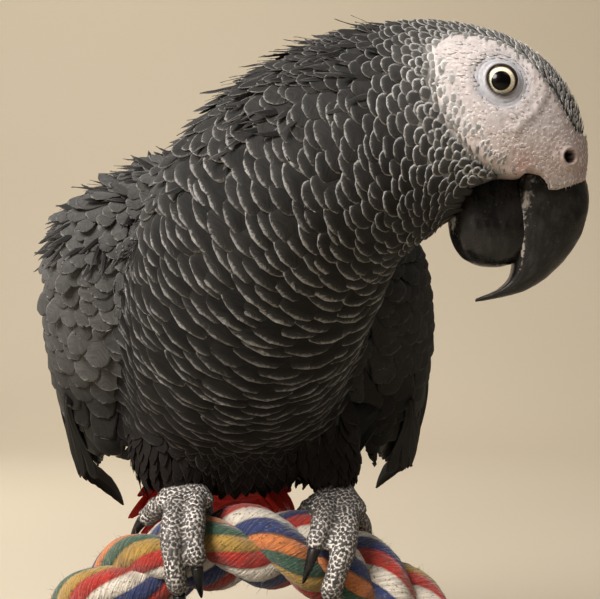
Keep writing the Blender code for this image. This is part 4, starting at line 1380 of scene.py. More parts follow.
def build_plumage(skin):
    """The coat: contour feathers in pieces by region, then the face's tufts and the ruffs."""
    form = Form()
    at = plumage_seeds(form)
    n, s, wing, nape, face = len(at), at.s, at.wing, at.nape, at.face
    paint, rim_paint, rim_share = region_paint(at)
    # painted shade: wing coverts darkened along the wing's lower edge, where it meets the belly
    paint *= (1 - 0.78 * at.low_edge)[:, None]
    rim_paint *= (1 - 0.60 * at.low_edge)[:, None]
    shoulder = (at.sense < 0) * wing * (1 - smooth(0.05, 0.14, at.share))
    tousled = nape * mix(0.32, 1.0, smooth(4.4, 5.1, s) * smooth(6.9, 6.4, s))
    ruff = np.maximum(tousled * random.random(n), shoulder * random.random(n) ** 2.6)
    stray = mix(mix(0.06, 0.035, wing), 0.34, ruff)[:, None] * random.normal(0, 1, (n, 3))
    way = at.way + stray
    lift = np.interp(s, [0, 4, 6, 8, LAST], [0.5, 0.6, 0.6, 0.40, 0.22])
    lift = mix(lift, 0.45, wing) * random.uniform(mix(0.6, 0.8, wing), mix(1.5, 1.2, wing), n)
    lift = lift + ruff * random.uniform(0.3, 4.6, n)
    lift = lift + wing * smooth(0.26, 0.42, at.share) * mix(0.6, 2.2, at.high_edge)
    hanging = smooth(-0.4, -0.85, at.normal[:, 2]) * smooth(108.0, 99.0, at.p[:, 2]) * (1 - wing)
    lift = lift + hanging * random.uniform(0.5, 3.4, n)
    deep = np.interp(s, [0, 5, 7, 8.5, LAST], [1.5, 1.5, 1.1, 0.75, 0.5])
    deep = mix(deep, 1.5, wing)
    width = at.size[:, 3] * mix(1.0, 0.70, ruff) * random.uniform(0.88, 1.12, n)
    length = at.size[:, 2] * random.uniform(0.92, 1.1, n)
    on_wing = wing > 0.5
    wing_patch = np.stack([0.02 + 0.9 * at.turn / TAU, 0.45 + 0.5 * at.share], 1)
    patch = np.where(on_wing[:, None], wing_patch, at.patch())
    widest = np.interp(s, [2.0, 3.0, 5.6, 7.0], [0.74, 0.84, 0.82, 0.74])
    on_skin = face > -2.0
    raised = skin_height(skin, at.p[on_skin], at.normal[on_skin])
    lift[on_skin] += raised
    deep[on_skin] -= raised
    vanes = {
        "root": at.p - way * (length * 0.62)[:, None], "way": way, "length": length,
        "width": width, "paint": paint, "rim_paint": rim_paint, "rim_share": rim_share,
        "patch": patch, "deep": deep, "lift": lift,
        "point": mix(mix(0.5, 0.85, ruff), 0.8, at.fluff),
        "widest": mix(mix(mix(widest, 0.78, wing), 0.62, nape), 0.55, at.fluff),
        "bow": random.normal(0, 0.06, n) * (1 - 0.6 * wing),
        "rim_scale": 1 + 1.1 * smooth(-14.0, -1.0, face),
    }
    bands = [("coat_wing_right", on_wing & (at.sense < 0), 13, 11),
             ("coat_wing_left", on_wing & (at.sense > 0), 13, 11)]
    for name, low, high, rows, cols in (
        ("coat_rump", 0.0, 2.2, 10, 9), ("coat_belly", 2.2, 3.6, 13, 13),
        ("coat_chest", 3.6, 5.2, 13, 13), ("coat_neck", 5.2, 6.8, 13, 11),
        ("coat_nape", 6.8, 7.9, 9, 7), ("coat_head", 7.9, 99.0, 7, 5),
    ):
        bands.append((name, ~on_wing & (s >= low) & (s < high), rows, cols))
    for name, chosen, rows, cols in bands:
        coat = Coat()
        mean = float(at.size[chosen, 0].mean())
        lay_vanes(coat, form.tree, **{key: value[chosen] for key, value in vanes.items()},
                  rows=rows, cols=cols, thick=0.09 * mean, notch=0.07 * mean,
                  splits=0.02 if cols > 9 else 0.0)
        coat.make(name, feather_paint,
                  "feather_dark" if name.endswith("left") else "feather_grey")
    build_face_tufts(form, skin)
    build_ruffs(form)


def build_ruffs(form):
    """Loose dark tufts that stand out from the nape and the right shoulder."""
    at = form.scatter(RUFFS_TRIED)
    p, s = at.p, at.s
    nape = smooth(0.15, 0.65, np.cos(at.turn)) * smooth(4.8, 5.5, s) * smooth(7.5, 6.9, s)
    nape = nape * (1 - at.wing)
    shoulder = (at.sense < 0) * smooth(158.0, 166.0, p[:, 2]) * smooth(-16.0, -24.0, p[:, 0])
    shoulder = shoulder * smooth(0.16, 0.08, at.share) * smooth(5.0, 4.4, s)
    clumps = smooth(-0.2, 0.4, hash_noise(p, 45, 6.0))
    at.keep(random.random(len(p)) < np.maximum(nape, shoulder) * clumps)
    form.lay(at)
    at.thin(at.s + random.normal(0, 0.01, len(at)), 3.0, 1.5)
    n = len(at)
    aside = 0.55 * hash_noise(at.p, 47, 7.0) + random.normal(0, 0.22, n)
    way = at.way + aside[:, None] * np.cross(at.normal, at.way)
    paint = np.array([0.019, 0.0185, 0.0185]) * random.uniform(0.5, 1.5, (n, 1))
    rim_paint = np.array([0.115, 0.11, 0.11]) * random.uniform(0.6, 1.3, (n, 1))
    length = random.uniform(6.5, 11.5, n)
    coat = Coat()
    lay_vanes(coat, form.tree, at.p - way * (length * 0.5)[:, None], way, length,
              random.uniform(1.1, 2.3, n), paint, rim_paint, random.uniform(0.2, 0.9, n),
              at.patch(), deep=1.0, lift=0.8 + 3.2 * random.random(n) ** 1.6, point=0.95,
              rows=9, cols=5, thick=0.14, notch=0.25, widest=0.42,
              bow=random.normal(0, 0.10, n))
    coat.make("coat_ruff", feather_paint, "feather_grey")


PROBE = 4.0  # how far above and below the form the skin is looked for, in mm


def skin_height(skin, p, normal):
    """How far the face's skin stands above the form at each point."""
    mesh = skin.data
    mesh.calc_loop_triangles()
    corners = np.empty(len(mesh.loop_triangles) * 3, np.int32)
    mesh.loop_triangles.foreach_get("vertices", corners)
    corners = corners.reshape(-1, 3)
    spots = mesh_points(mesh)
    first = spots[corners[:, 0]]
    near = (first[:, 0] > FACE_X - 1) & (first[:, 2] > FACE_Z - 1)
    tree = surface_tree(spots, [corners[near]])
    height = np.zeros(len(p))
    for i, (q, n) in enumerate(zip(p, normal)):
        hit = tree.ray_cast(Vector(q + n * PROBE), Vector(-n), 2 * PROBE)
        height[i] = PROBE - hit[3] if hit[0] is not None else 0.0
    return height


def build_face_tufts(form, skin):
    """Tiny white hair-like feathers in rows over the back and foot of the bare face."""
    centre = sum(form.corners) / 4
    near = np.flatnonzero((centre[:, 0] > FACE_X) & (centre[:, 2] > FACE_Z))
    p = form.spots(random.choice(near, TUFTS_TRIED))
    x, z = p[:, 0], p[:, 2]
    face, upper, lower = face_masks(p)
    eye_gap = from_eye(x, z)
    rear = smooth(67.0, 56.0, x + 0.5 * (190.0 - z))
    foot = smooth(191.0, 184.0, z)
    front = smooth(72.0, 80.0, x) * 0.45
    wanted = np.maximum(np.maximum(rear, foot), front) * smooth(5.2, 8.0, eye_gap)
    wanted = np.maximum(wanted, 0.10 * (eye_gap > 6.5))
    keep = ((face > 1.0) & (upper < -0.2) & (lower < -0.2) & (from_nostril(x, z) > 2.6)
            & (random.random(len(p)) < wanted))
    at = form.describe(p[keep])
    at.face, at.foot = face[keep], foot[keep]
    form.lay(at, 0.25)
    at.thin(at.s + random.normal(0, 0.004, len(at)), 1.08, 0.86)
    n = len(at)
    height = skin_height(skin, at.p, at.normal)
    white = np.array([0.54, 0.495, 0.49]) * random.uniform(0.84, 1.10, (n, 1))
    white = mix(white, np.array([0.44, 0.42, 0.42]), smooth(5.0, 1.0, at.face)[:, None] * 0.7)
    white = mix(white, np.array([0.46, 0.38, 0.355]), (0.6 * at.foot)[:, None])
    length = random.uniform(1.6, 2.4, n)
    coat = Coat()
    lay_vanes(coat, form.tree, at.p - at.way * (length * 0.5)[:, None],
              at.way + random.normal(0, 0.10, (n, 3)), length, random.uniform(0.85, 1.25, n),
              white, white * 1.1, np.full(n, 0.9), at.patch(), deep=0.12 - height,
              lift=height + random.uniform(0.08, 0.19, n), point=0.55, rows=5, cols=5,
              thick=0.10, notch=0.0, widest=0.6)
    coat.make("coat_face", tuft_paint, "face_skin")


# ------------------------------------------------------------ detailed pieces that replace CAD nodes

def upper_bill_rings(rings, sides):
    """The hooked upper bill, a ring at each step from its root to its tip."""
    steps = np.linspace(0, len(CULMEN) - 1, rings)
    front, rear, half = (natural_spline(np.arange(len(CULMEN)), rows, steps)
                         for rows in (CULMEN, TOMIUM, UPPER_HALF_WIDTH[:, None]))
    a = circle(sides)
    c, s = np.cos(a)[None, :], np.sin(a)[None, :]
    span = front - rear
    deep = np.linalg.norm(span, axis=1)
    to_front = span / deep[:, None]
    reach = 0.36 + np.where(c > 0, 0.64, 0.36) * c
    wide = np.sign(s) * np.abs(s) ** np.where(c > 0, 0.95, 0.34) * half
    p = rear[:, None, :] + to_front[:, None, :] * (deep[:, None] * reach)[..., None]
    return np.stack([p[..., 0], HEAD_Y - wide, p[..., 1]], -1)


def lower_bill_rings(rings, sides):
    """The lower bill, a squarish egg."""
    lat = np.linspace(-math.pi / 2, math.pi / 2, rings + 2)[1:-1, None]
    lon = circle(sides)[None, :]
    way = np.stack([np.cos(lat) * np.cos(lon), np.cos(lat) * np.sin(lon),
                    np.sin(lat) + 0 * lon], -1)
    centre = np.array([LOWER_CENTRE[0], HEAD_Y, LOWER_CENTRE[1]])
    return centre + way * egg_scale(way)[..., None] * np.array(LOWER_RADII)


def roughened(rings, amount, size, seed):
    """A lofted body with a little uneven relief along its own normals, which it also gives."""
    points, faces = loft(rings)
    _, normal = nearest(surface_tree(points, faces), points)
    lumps = hash_noise(points, seed, size) + 0.5 * hash_noise(points, seed + 1, size * 0.45)
    return points + normal * (lumps * amount)[:, None], faces, normal


def per_ring(values, sides):
    """One value per ring as one value per point of the lofted body."""
    return np.concatenate([np.repeat(values, sides), [values[0], values[-1]]])


def per_side(values, rings):
    """One value per side as one value per point of the lofted body, 0 at its two ends."""
    return np.concatenate([np.tile(values, rings), [0, 0]])


def horn_material(name, gloss):
    """Black horn: growth lines along it, hair-fine scratches, and pale worn flakes."""
    p = Paint(name, gloss, Specular_IOR_Level=0.24)
    around, along = p.uv("grow")
    growth = p.noise(1.0, 3.0, 0.6, p.stretched((around, 1.6), (along, 0.22)))
    scratch = p.noise(1.0, 4.0, 0.7, p.stretched((around, 0.35), (along, 3.2)))
    flake = p.noise(560.0, 4.0, 0.7, distortion=0.5)
    dust = p.noise(1500.0, 2.0, 0.6)
    cloudy = p.noise(160.0, 3.0, 0.6)
    worn = p.plus(p.value("worn"), p.times(p.minus(flake, 0.5), 2.0))
    base = p.mix(p.step(growth, 0.42, 0.66), (0.0045, 0.0042, 0.0042), (0.013, 0.012, 0.0115))
    base = p.mix(p.times(p.step(scratch, 0.62, 0.76), 0.16), base, (0.10, 0.095, 0.09))
    base = p.mix(p.step(worn, 0.55, 1.05), base, (0.27, 0.25, 0.23))
    base = p.mix(p.times(p.step(dust, 0.66, 0.74), 0.10), base, (0.30, 0.27, 0.24))
    base = p.mix(p.step(cloudy, 0.50, 0.72, 0.0, 0.12), base, (0.040, 0.037, 0.035))
    rough = p.plus(p.step(cloudy, 0.35, 0.70, gloss - 0.05, gloss + 0.20),
                   p.times(p.step(worn, 0.5, 0.9), 0.25))
    normal = p.bump(growth, 0.00018, 0.5, p.bump(flake, 0.00012, 0.4))
    return p.finish(base, rough, normal)


def build_bill():
    """Both halves of the bill, with relief, and paler where they are worn."""
    rings, sides, grown = 120, 72, 42
    points, faces, normal = roughened(upper_bill_rings(rings, sides), 0.09, 2.4, 61)
    along = per_ring(np.linspace(0, grown, rings), sides)
    around = per_side(circle(sides) * 3.2, rings)
    x, z = points[:, 0], points[:, 2]
    turned = ridge(normal[:, 0] + 0.52, 0.09) * smooth(76.0, 74.0, x)
    worn = 1.15 * turned * smooth(153, 158, z) * smooth(178, 174, z)
    worn = np.maximum(worn, 0.62 * smooth(159, 172, z) * smooth(79.5, 71.0, x))
    worn = np.maximum(worn, 0.40 * smooth(6.5, 1.0, line_distance(x, z, CERE_LINE)))
    worn += 0.10 * hash_noise(points, 64, 3.0)
    tip = smooth(70.0, 60.0, x) * smooth(153, 148, z)
    worn = worn * (1 - tip)
    placed("bill_top", points + normal * (0.10 * worn * hash_noise(points, 66, 0.7))[:, None],
           faces, horn_material("horn_upper", 0.30), "bill_horn", "bill_upper",
           uvs={"grow": np.stack([around, along], 1)}, attributes={"worn": worn})
    points, faces, _ = roughened(lower_bill_rings(72, 84), 0.10, 2.6, 71)
    x, z = points[:, 0], points[:, 2]
    turn = np.arctan2(points[:, 1] - HEAD_Y, x - LOWER_CENTRE[0])
    worn = 0.78 * smooth(57.5, 53.8, x) * smooth(161, 167, z)
    worn = np.maximum(worn, 0.30 * smooth(172, 178, z))
    worn = worn + 0.12 * hash_noise(points, 74, 3.0)
    placed("bill_under", points, faces, horn_material("horn_lower", 0.20), "bill_horn",
           "bill_lower", uvs={"grow": np.stack([turn * 2.5, z * 0.6], 1)},
           attributes={"worn": worn})


def build_claws():
    """Eight curved claws, one at the tip of each toe."""
    bodies, along, around, nodes = [], [], [], []
    rings, sides, bend = 22, 18, math.radians(38.0)
    for side, _ in SIDES:
        for toe, length in CLAW_LENGTH.items():
            points, radius, way = toe_path(side, toe, 7)
            ahead, inward = unit(points[-1] - points[-2]), -way[-1]
            start = points[-1] + ahead * (GAP + 0.2) - inward * 0.6
            t = np.linspace(-0.12, 1, rings)
            path = start + (np.sin(bend * t) / bend)[:, None] * ahead * length
            path += ((1 - np.cos(bend * t)) / bend)[:, None] * inward * length
            share = np.clip(t, 0, 1)
            thick = radius[-1] * 0.74 * (1 - share) ** 0.72 + 0.22
            thick = thick * (1 + 0.05 * np.sin(t * 60) * (1 - share))
            bodies.append(tube_rings(path, np.stack([thick * 0.8, thick], 1), sides))
            along.append(np.concatenate([np.repeat(t * length, sides), [0, length]]))
            around.append(per_side(np.arange(sides) * 0.8, rings))
            nodes.append(f"claw_{side}_{toe}")
    points, faces = loft_many(bodies)
    along = np.concatenate(along)
    worn = 0.22 * smooth(4.0, 0.0, along) + 0.10 * hash_noise(points, 81, 1.6)
    placed("claws", points, faces, horn_material("horn_claw", 0.30), "bill_horn", *nodes,
           uvs={"grow": np.stack([np.concatenate(around), along], 1)},
           attributes={"worn": worn})


def eye_material():
    """Round black pupil, straw-pale iris with fine rays and a dark brown surround."""
    p = Paint("eye_glass", 0.30, Specular_IOR_Level=0.05, Coat_Weight=0.25, Coat_Roughness=0.02)
    turn, out = p.uv("iris")
    rays = p.noise(1.0, 3.0, 0.7, p.stretched((turn, 60.0), (out, 1.2)))
    blot = p.noise(900.0, 2.0, 0.5)
    iris = p.mix(p.step(rays, 0.35, 0.65), (0.52, 0.46, 0.33), (0.82, 0.77, 0.62))
    iris = p.mix(p.step(blot, 0.4, 0.7, 0.0, 0.35), iris, (0.62, 0.55, 0.40))
    iris = p.mix(p.step(out, 3.05, 3.34), iris, (0.17, 0.12, 0.075))
    iris = p.mix(p.step(out, 2.42, 2.12), iris, (0.36, 0.29, 0.18))
    colour = p.mix(p.step(out, 2.25, 2.12), iris, (0.0006, 0.0005, 0.0005))
    colour = p.mix(p.step(out, 3.32, 3.46), colour, (0.012, 0.008, 0.007))
    return p.finish(colour, None, p.bump(rays, 0.00004, 0.4))


def build_eyes():
    """Two glassy eyeballs, each with a low cornea over the iris."""
    paint = eye_material()
    rings, sides = 44, 72
    for side, sign in SIDES:
        low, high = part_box(f"eye_{side}")
        centre = (np.array(low) + np.array(high)) / 2 / MM
        axis = unit(np.array([-0.06, sign, -0.05]))  # the turned head's right eye faces -Y
        first = unit(np.cross(axis, UP))
        second = np.cross(axis, first)
        theta = np.linspace(0.02, math.pi - 0.05, rings)
        radius = EYE_RADIUS + 0.32 * ridge(theta, 0.55)
        turn = circle(sides)
        ring = np.cos(turn)[:, None] * first + np.sin(turn)[:, None] * second
        body = (centre + (radius * np.cos(theta))[:, None, None] * axis
                + (radius * np.sin(theta))[:, None, None] * ring[None])
        out = np.where(theta < math.pi / 2, EYE_RADIUS * np.sin(theta), EYE_RADIUS + 1)
        out = np.concatenate([np.repeat(out, sides), [0, EYE_RADIUS + 1]])
        points, faces = loft(body)
        placed(f"eyeball_{side}", points, faces, paint, "eye", f"eye_{side}",
               uvs={"iris": np.stack([per_side(turn / TAU, rings), out], 1)})


# ------------------------------------------------------------ rope and stand

YARNS = ("orange", "green", "yellow", "red", "white", "navy", "red", "white", "navy")
YARN_START = np.array([6.5, 4.25, 1.0])  # how many yarns on each strand begins
DYES = {"orange": (0.46, 0.150, 0.046), "green": (0.032, 0.080, 0.054),
        "yellow": (0.32, 0.195, 0.044), "red": (0.33, 0.023, 0.016),
        "white": (0.55, 0.50, 0.43), "navy": (0.023, 0.035, 0.110)}
YARN_TURN = 0.192  # how fast the yarns wind round their strand, in radians per mm
YARN_RISE = 0.55  # how far each yarn's middle stands above the grooves beside it, in mm
HAIR_POINTS = 12  # four rings of three points in each stray fibre
STRAY_HAIRS, CUT_HAIRS = 2600, 420  # tried along the rope, and made at each cut end


def yarn_at(turn):
    """Which yarn lies at each angle round a strand, with the share of its width as fraction."""
    return turn / TAU * len(YARNS)


def rope_at(arc):
    """Centre, upward normal and direction of the rope at an arc length along it."""
    return rope_frame(ROPE_MIDDLE_X + ROPE_ARCH_RADIUS * np.sin(arc / ROPE_ARCH_RADIUS))


def hairs(root, way, length, radius, bend):
    """Thin curved fibres, each a closed three-sided spike."""
    n = len(root)
    aside = unit(np.cross(way, unit(way + bend * 2 + 0.1)))
    other = np.cross(way, aside)
    t = np.array([-0.1, 0.3, 0.65, 1.0])
    path = (root[:, None] + way[:, None] * (length[:, None] * t)[..., None]
            + bend[:, None] * (length[:, None] * t * t)[..., None])
    thick = radius[:, None] * np.array([1.0, 0.8, 0.6, 0.25])
    turn = np.arange(3) * TAU / 3
    spoke = (np.cos(turn)[None, :, None] * aside[:, None]
             + np.sin(turn)[None, :, None] * other[:, None])
    points = path[:, :, None] + thick[..., None, None] * spoke[:, None]
    ends = np.array([[2, 1, 0], [9, 10, 11]])
    at = np.arange(n)[:, None, None] * HAIR_POINTS
    return points.reshape(-1, 3), [(loft_faces(4, 3)[None] + at).reshape(-1, 4),
                                   (ends[None] + at).reshape(-1, 3)]


def strand_place(arc, third, turn, sink=0.0):
    """A point on one of the three strands, at an arc length along the rope."""
    centre, normal, along = rope_at(np.asarray(arc))
    lay = TAU * arc / ROPE_PITCH + third * TAU / 3
    spin = turn + lay - YARN_TURN * arc - YARN_START[third] * TAU / len(YARNS)
    middle = centre + LOBE_OFFSET * (np.cos(lay)[..., None] * normal
                                     + np.sin(lay)[..., None] * FRONT)
    out = np.cos(spin)[..., None] * normal + np.sin(spin)[..., None] * FRONT
    off_middle = 2 * (yarn_at(turn) % 1.0) - 1
    rise = YARN_RISE * np.sqrt(np.clip(1 - off_middle**2, 0.0, 1))
    radius = LOBE_RADIUS - YARN_RISE + rise - sink
    return middle + radius[..., None] * out, out, along


def rope_material():
    """Cotton yarns: short twisted fibres across each band, a little dirt and fading."""
    p = Paint("cotton", 0.95, Specular_IOR_Level=0.15, Sheen_Weight=0.35, Sheen_Roughness=0.5)
    across, along = p.uv("yarn")
    ply = p.plus(p.times(along, 0.9), p.times(across, 5.0))
    twist = p.noise(1.0, 2.0, 0.6, p.combine(p.times(across, 1.2), ply))
    lint = p.noise(1.0, 3.0, 0.7, p.stretched((across, 9.0), (along, 0.7)))
    broad = p.noise(90.0, 3.0, 0.6)
    speck = p.noise(1100.0, 3.0, 0.7)
    dye = p.colour("paint")
    colour = p.mix(p.step(twist, 0.34, 0.60), p.mix(0.34, dye, (0, 0, 0)), dye)
    colour = p.mix(p.step(speck, 0.575, 0.65, 0.0, 0.8), colour, (0.045, 0.028, 0.018))
    colour = p.mix(p.step(lint, 0.55, 0.74, 0.0, 0.22), colour, (0.66, 0.57, 0.46))
    colour = p.mix(p.step(broad, 0.50, 0.72, 0.0, 0.40), colour, (0.075, 0.050, 0.034))
    normal = p.bump(twist, 0.0009, 0.8, p.bump(lint, 0.0004, 0.6))
    return p.finish(colour, None, normal)


def build_rope():
    """Three strands of dyed yarns, and the stray fibres on them and at the cut ends."""
    half = ROPE_HALF_ANGLE * ROPE_ARCH_RADIUS
    rings, per_yarn, undyed = 330, 8, YARNS.index("white")
    sides = per_yarn * len(YARNS)
    arc = np.linspace(-half, half, rings)
    dyes = np.array([DYES[name] for name in YARNS])
    bodies, paint, yarn_uv = [], [], []
    for third in range(3):
        a, turn = np.meshgrid(arc, np.arange(sides) * TAU / sides, indexing="ij")
        p, _, _ = strand_place(a, third, turn)
        p = p + 0.10 * hash_noise(p, 90 + third, 1.1)[..., None]
        bodies.append(p)
        which = np.minimum((yarn_at(turn) + 0.08).astype(int), len(YARNS) - 1)
        tone = 1 + 0.10 * hash_noise(p, 95, 5.0)
        paint.append(np.concatenate([(dyes[which] * tone[..., None]).reshape(-1, 3),
                                     dyes[[undyed, undyed]]]))
        uv = np.stack([yarn_at(turn) + 20 * third, a], -1).reshape(-1, 2)
        yarn_uv.append(np.concatenate([uv, uv[[0, -1]]]))
    cotton = rope_material()
    points, faces = loft_many(bodies)
    placed("rope_strands", points, faces, cotton, "rope_cotton", "perch_rope",
           uvs={"yarn": np.concatenate(yarn_uv)}, attributes={"paint": np.concatenate(paint)})
    build_fuzz(half, dyes, cotton)


def build_fuzz(half, dyes, cotton):
    """Stray fibres: loose ones along the rope, then a brush of cut ones at each end."""
    n = STRAY_HAIRS
    arc = random.uniform(-half, half, n)
    third, turn = random.integers(0, 3, n), random.uniform(0, TAU, n)
    root, out, along = strand_place(arc, third, turn)
    outside = np.einsum("ij,ij->i", root - rope_at(arc)[0], out) > 4.0
    root, out, along, turn = (v[outside] for v in (root, out, along, turn))
    n, m = len(root), CUT_HAIRS
    roots = [root]
    ways = [unit(out * random.uniform(0.15, 0.9, (n, 1))
                 + along * random.normal(0, 0.8, (n, 1)) + random.normal(0, 0.4, (n, 3)))]
    tints = [dyes[yarn_at(turn).astype(int)] * random.uniform(0.8, 1.3, (n, 1))]
    for edge in (-half, half):
        third, turn = random.integers(0, 3, m), random.uniform(0, TAU, m)
        sink = LOBE_RADIUS * (1 - np.sqrt(random.random(m)))
        root, out, along = strand_place(np.full(m, edge), third, turn, sink)
        roots.append(root)
        ways.append(unit(along * math.copysign(1.0, edge) + out * random.uniform(0, 0.5, (m, 1))
                         + random.normal(0, 0.15, (m, 3))))
        tints.append(dyes[yarn_at(turn).astype(int)] * random.uniform(0.8, 1.3, (m, 1)))
    length = np.concatenate([random.uniform(0.6, 2.4, n), random.uniform(1.5, 4.5, 2 * m)])
    radius = np.concatenate([random.uniform(0.035, 0.07, n), random.uniform(0.12, 0.28, 2 * m)])
    points, faces = hairs(np.concatenate(roots), np.concatenate(ways), length, radius,
                          random.normal(0, 0.3, (n + 2 * m, 3)))
    tint = np.repeat(np.concatenate(tints), HAIR_POINTS, 0)
    placed("rope_fuzz", points, faces, cotton, "rope_cotton", uvs={"yarn": points[:, :2]},
           attributes={"paint": tint})


def turned_rings(profile, sides, x=0.0):
    """Rings of a turned shape from (radius, height) pairs."""
    a = circle(sides)
    return np.array([[(x + r * math.cos(t), r * math.sin(t), z) for t in a]
                     for r, z in profile])


def build_stand_pieces():
    """The added stand: a dark disc with a rounded edge, and two steel rods with collars."""
    p = Paint("base_enamel", 0.42, Specular_IOR_Level=0.4)
    grain, cloud = p.noise(900.0, 3.0, 0.6), p.noise(30.0, 3.0, 0.6)
    p.finish(p.mix(p.step(cloud, 0.35, 0.7), (0.030, 0.030, 0.032), (0.044, 0.043, 0.043)),
             p.step(cloud, 0.3, 0.7, 0.36, 0.52), p.bump(grain, 0.00012, 0.35))
    edge = [(BASE_RADIUS - BASE_EDGE * (1 - math.sin(a)),
             BASE_HEIGHT - BASE_EDGE * (1 - math.cos(a)))
            for a in np.linspace(math.pi / 2, 0, 9)]
    profile = ([(BASE_RADIUS - 3.0, 0.0), (BASE_RADIUS - 1.6, 0.15), (BASE_RADIUS, 1.2)]
               + [(BASE_RADIUS, h) for h in np.linspace(2.5, BASE_HEIGHT - 3, 5)] + edge
               + [(r, BASE_HEIGHT) for r in np.linspace(BASE_RADIUS - 4, 2, 20)])
    placed("base_plate", *loft(turned_rings(profile, 120)), p.material, "base_paint",
           "stand_base")
    p = Paint("rod_brushed", 0.34, Metallic=1.0)
    lathe = p.node("Mapping", {"Vector": p.place(), "Scale": (300.0, 300.0, 6000.0)})
    brushed = p.noise(1.0, 3.0, 0.6, lathe.outputs[0])
    p.finish(p.mix(p.step(brushed, 0.3, 0.7), (0.42, 0.42, 0.43), (0.60, 0.60, 0.61)),
             p.step(brushed, 0.3, 0.7, 0.28, 0.44), p.bump(brushed, 0.00005, 0.5))
    for (name, _), x in zip(SIDES, ROD_X):
        centre, normal, _ = rope_frame(x)
        top = centre[2] - ROPE_RADIUS / normal[2] + ROD_INTO_ROPE
        z0 = BASE_HEIGHT + 0.3
        profile = ([(6.0, z0), (6.6, z0 + 0.5), (6.6, z0 + 2.6), (6.0, z0 + 3.3),
                    (3.9, z0 + 3.9), (3.6, z0 + 6.0), (3.2, z0 + 6.6), (ROD_RADIUS, z0 + 6.8)]
                   + [(ROD_RADIUS, h) for h in np.linspace(z0 + 8, top - 1, 8)]
                   + [(ROD_RADIUS - 0.6, top)])
        placed(f"rod_{name}", *loft(turned_rings(profile, 64, x)), p.material, "rod_steel",
               f"stand_rod_{name}")


# ------------------------------------------------------------ wings and tail


def wing_sense(side):
    _, along, upward, out, _ = wing_frame(side)
    return 1.0 if np.cross(along, upward) @ out > 0 else -1.0


BLADE_THICK = 0.5  # mm through a flight feather at its shaft
SHAFT_SHOWS = 0.35  # how strongly the shaft's paler line shows
BLADE_U = np.array([-1, -0.82, -0.6, -0.35, -0.12, -0.045, 0, 0.045, 0.12, 0.35, 0.6, 0.82, 1])


def add_blades(coat, surface, start, end, half, lift, colours, patch, rows, widest, point=0.5,
               sense=1.0, rise=0.9, share=0.5, sunk=0.0):
    """Long vanes laid in a surface's own (share, mm across, lift) coordinates.

    start and end give the share and the mm across of each root and tip, colours those of
    the hidden vane, the open vane and the rim.  sunk is how far the roots lie below.
    """
    (t0, h0), (t1, h1), (inner, outer, rim) = start, end, colours
    n, cols = len(patch), len(BLADE_U)
    t0, t1, h0, h1, half, lift, rise = per_vane(n, t0, t1, h0, h1, half, lift, rise)
    v = (1 - (1 - np.linspace(0, 1, rows)) ** 1.35)[None, :, None]
    u = BLADE_U[None, None, :]
    outline = np.maximum(tip_outline(v, widest, point), 0.02)
    ragged = random.normal(0, 1, (n, rows, cols)) * smooth(0.2, 1.0, np.abs(u))
    across = h0 + (h1 - h0) * smooth(0, 1, v) ** 0.9
    across = across + sense * u * outline * half
    across = across + ragged * 0.10
    shaft = ridge(u, 0.07) * (1 - 0.75 * v) * 0.40
    camber = -0.16 * u * u * half * 0.25
    height = lift + shaft + camber + rise * v - sunk * smooth(0.55, 0.0, v)
    grid = surface(t0 + (t1 - t0) * v + 0 * u, across, height)
    spine = grid[:, :, cols // 2]
    side_way = unit(grid[:, :, -1] - grid[:, :, 0])
    out = unit(np.cross(unit(np.gradient(spine, axis=1)), side_way))
    width = np.linalg.norm(grid[:, :, -1] - grid[:, :, 0], axis=2) / 2
    side_mm = (1 - np.abs(u)) * width[..., None]
    length = np.linalg.norm(np.diff(spine, axis=1), axis=2).sum(1)
    tip_mm = (1 - v) * length[:, None, None] + 0 * u
    vane = smooth(-0.25, 0.05, -u * np.ones((n, rows, 1)))[..., None]
    tone = random.uniform(0.8, 1.2, (n, 1, 1, 1))
    paint = mix(np.array(inner), np.array(outer), vane) * tone
    paint = np.concatenate([paint.reshape(n, -1, 3),
                            np.broadcast_to(np.array(inner), (n, rows, 3))], 1)
    coat.add(grid, spine - out * BLADE_THICK, BLADE_U, v[0, :, 0], side_mm, tip_mm, patch,
             paint, rim, share, SHAFT_SHOWS)


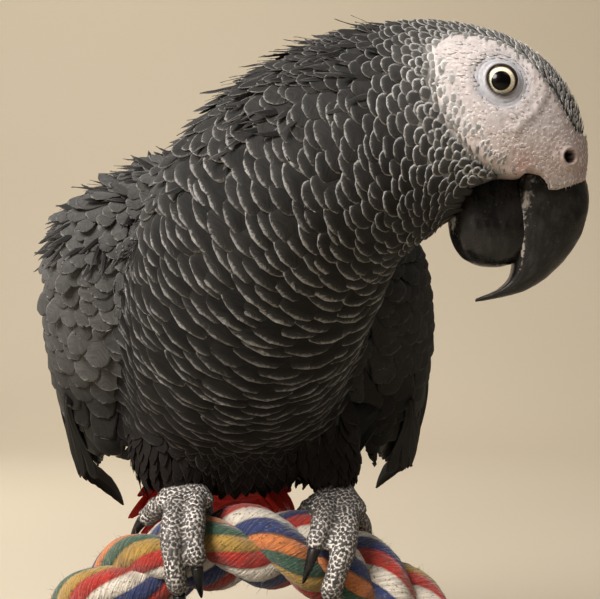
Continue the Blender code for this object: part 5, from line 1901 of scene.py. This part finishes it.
def build_flight_feathers(side):
    """The folded wing's nine long primaries and ten secondaries."""
    sense = wing_sense(side)

    def surface(share, across, height):
        tall = np.maximum(wing_rows(share.ravel())[:, 1], 1.0)
        return wing_points(side, share, np.clip(across.ravel() / tall, -1.3, 1.3),
                           height.ravel()).reshape(*share.shape, 3)

    black, grey = (0.0055, 0.0052, 0.0055), (0.015, 0.0145, 0.0145)
    k = np.arange(9) / 8
    reach = mix(0.50, 1.0, k)
    tall = np.maximum(wing_rows(reach)[:, 1], 1.0)
    coat = Coat()
    add_blades(coat, surface, (mix(0.20, 0.32, k), mix(-24.0, -20.0, k)),
               (reach, -tall * mix(0.92, 0.0, k)), mix(3.8, 4.6, k), mix(-0.6, -1.8, k),
               (black, grey, (0.075, 0.072, 0.07)),
               np.stack([0.1 + 0.5 * k, np.full(9, 0.99)], 1), rows=26, sense=sense,
               point=0.60, widest=0.70,
               rise=1.5 + 3.2 * np.sin(math.pi * np.minimum(k * 0.85, 1)))
    coat.make(f"primaries_{side}", flight_paint, "feather_dark", f"wing_{side}_primaries")
    k = np.arange(10) / 9
    coat = Coat()
    add_blades(coat, surface, (mix(0.24, 0.30, k), mix(22.0, -12.0, k)),
               (mix(0.66, 0.70, k), mix(10.0, -9.0, k)), mix(10.0, 8.5, k), mix(2.2, 0.4, k),
               (black, (0.022, 0.021, 0.0205), (0.11, 0.105, 0.10)),
               np.stack([0.1 + 0.5 * k, np.full(10, 0.97)], 1), rows=22, sense=sense,
               widest=0.75, sunk=3.4)
    coat.make(f"secondaries_{side}", flight_paint, "feather_dark", f"wing_{side}_secondaries")


def build_tail_feathers():
    """The twelve red tail feathers, and two rows of coverts above and below their roots."""
    along = unit(TAIL_TIP - TAIL_ROOT)
    upward = unit(UP - (UP @ along) * along)
    side = np.cross(along, upward)
    length = np.linalg.norm(TAIL_TIP - TAIL_ROOT)

    def surface(share, across, height):
        drop = TAIL_ARCH * across * across
        return (TAIL_ROOT + along * (share * length)[..., None] + side * across[..., None]
                + upward * (height - drop)[..., None])

    coat, colours = Coat(), (RED, DEEP_RED, DARK_RED)
    k = np.linspace(-1, 1, 12)
    add_blades(coat, surface, (0.04, k * 7.0), (1.0 - 0.05 * np.abs(k), k * 17.5), 6.2,
               0.9 - 2.2 * np.abs(k) - 0.03 * np.arange(12), colours,
               np.stack([0.1 + 0.3 * (k + 1), np.full(12, 0.02)], 1), rows=20, widest=0.82,
               share=0.35)
    for t0, t1, lift, count, reach in (  # root, tip, lift, feathers in the row, its half width
        (0.00, 0.55, 3.3, 13, 27.0), (-0.08, 0.38, 5.0, 11, 24.0),
        (0.0, 0.60, -3.6, 12, 22.0), (-0.05, 0.40, -5.4, 11, 23.0),
    ):
        k = np.linspace(-1, 1, count)
        above = lift > 0
        add_blades(coat, surface, (t0, k * 0.58 * reach), (t1 - 0.05 * np.abs(k), k * reach),
                   5.6, lift + (5.0 if above else 1.0) * k * k, colours,
                   np.stack([0.1 + 0.3 * (k + 1), np.full(count, 0.04)], 1), rows=14,
                   widest=0.7, share=0.3, sense=1.0 if above else -1.0)
    coat.make("tail_fan", flight_paint, "feather_red", "tail")


build_stage()
bird_skin = build_skin()
build_bill()
build_eyes()
build_claws()
build_rope()
build_stand_pieces()
for wing_side, _ in SIDES:
    build_flight_feathers(wing_side)
build_tail_feathers()
build_plumage(bird_skin)
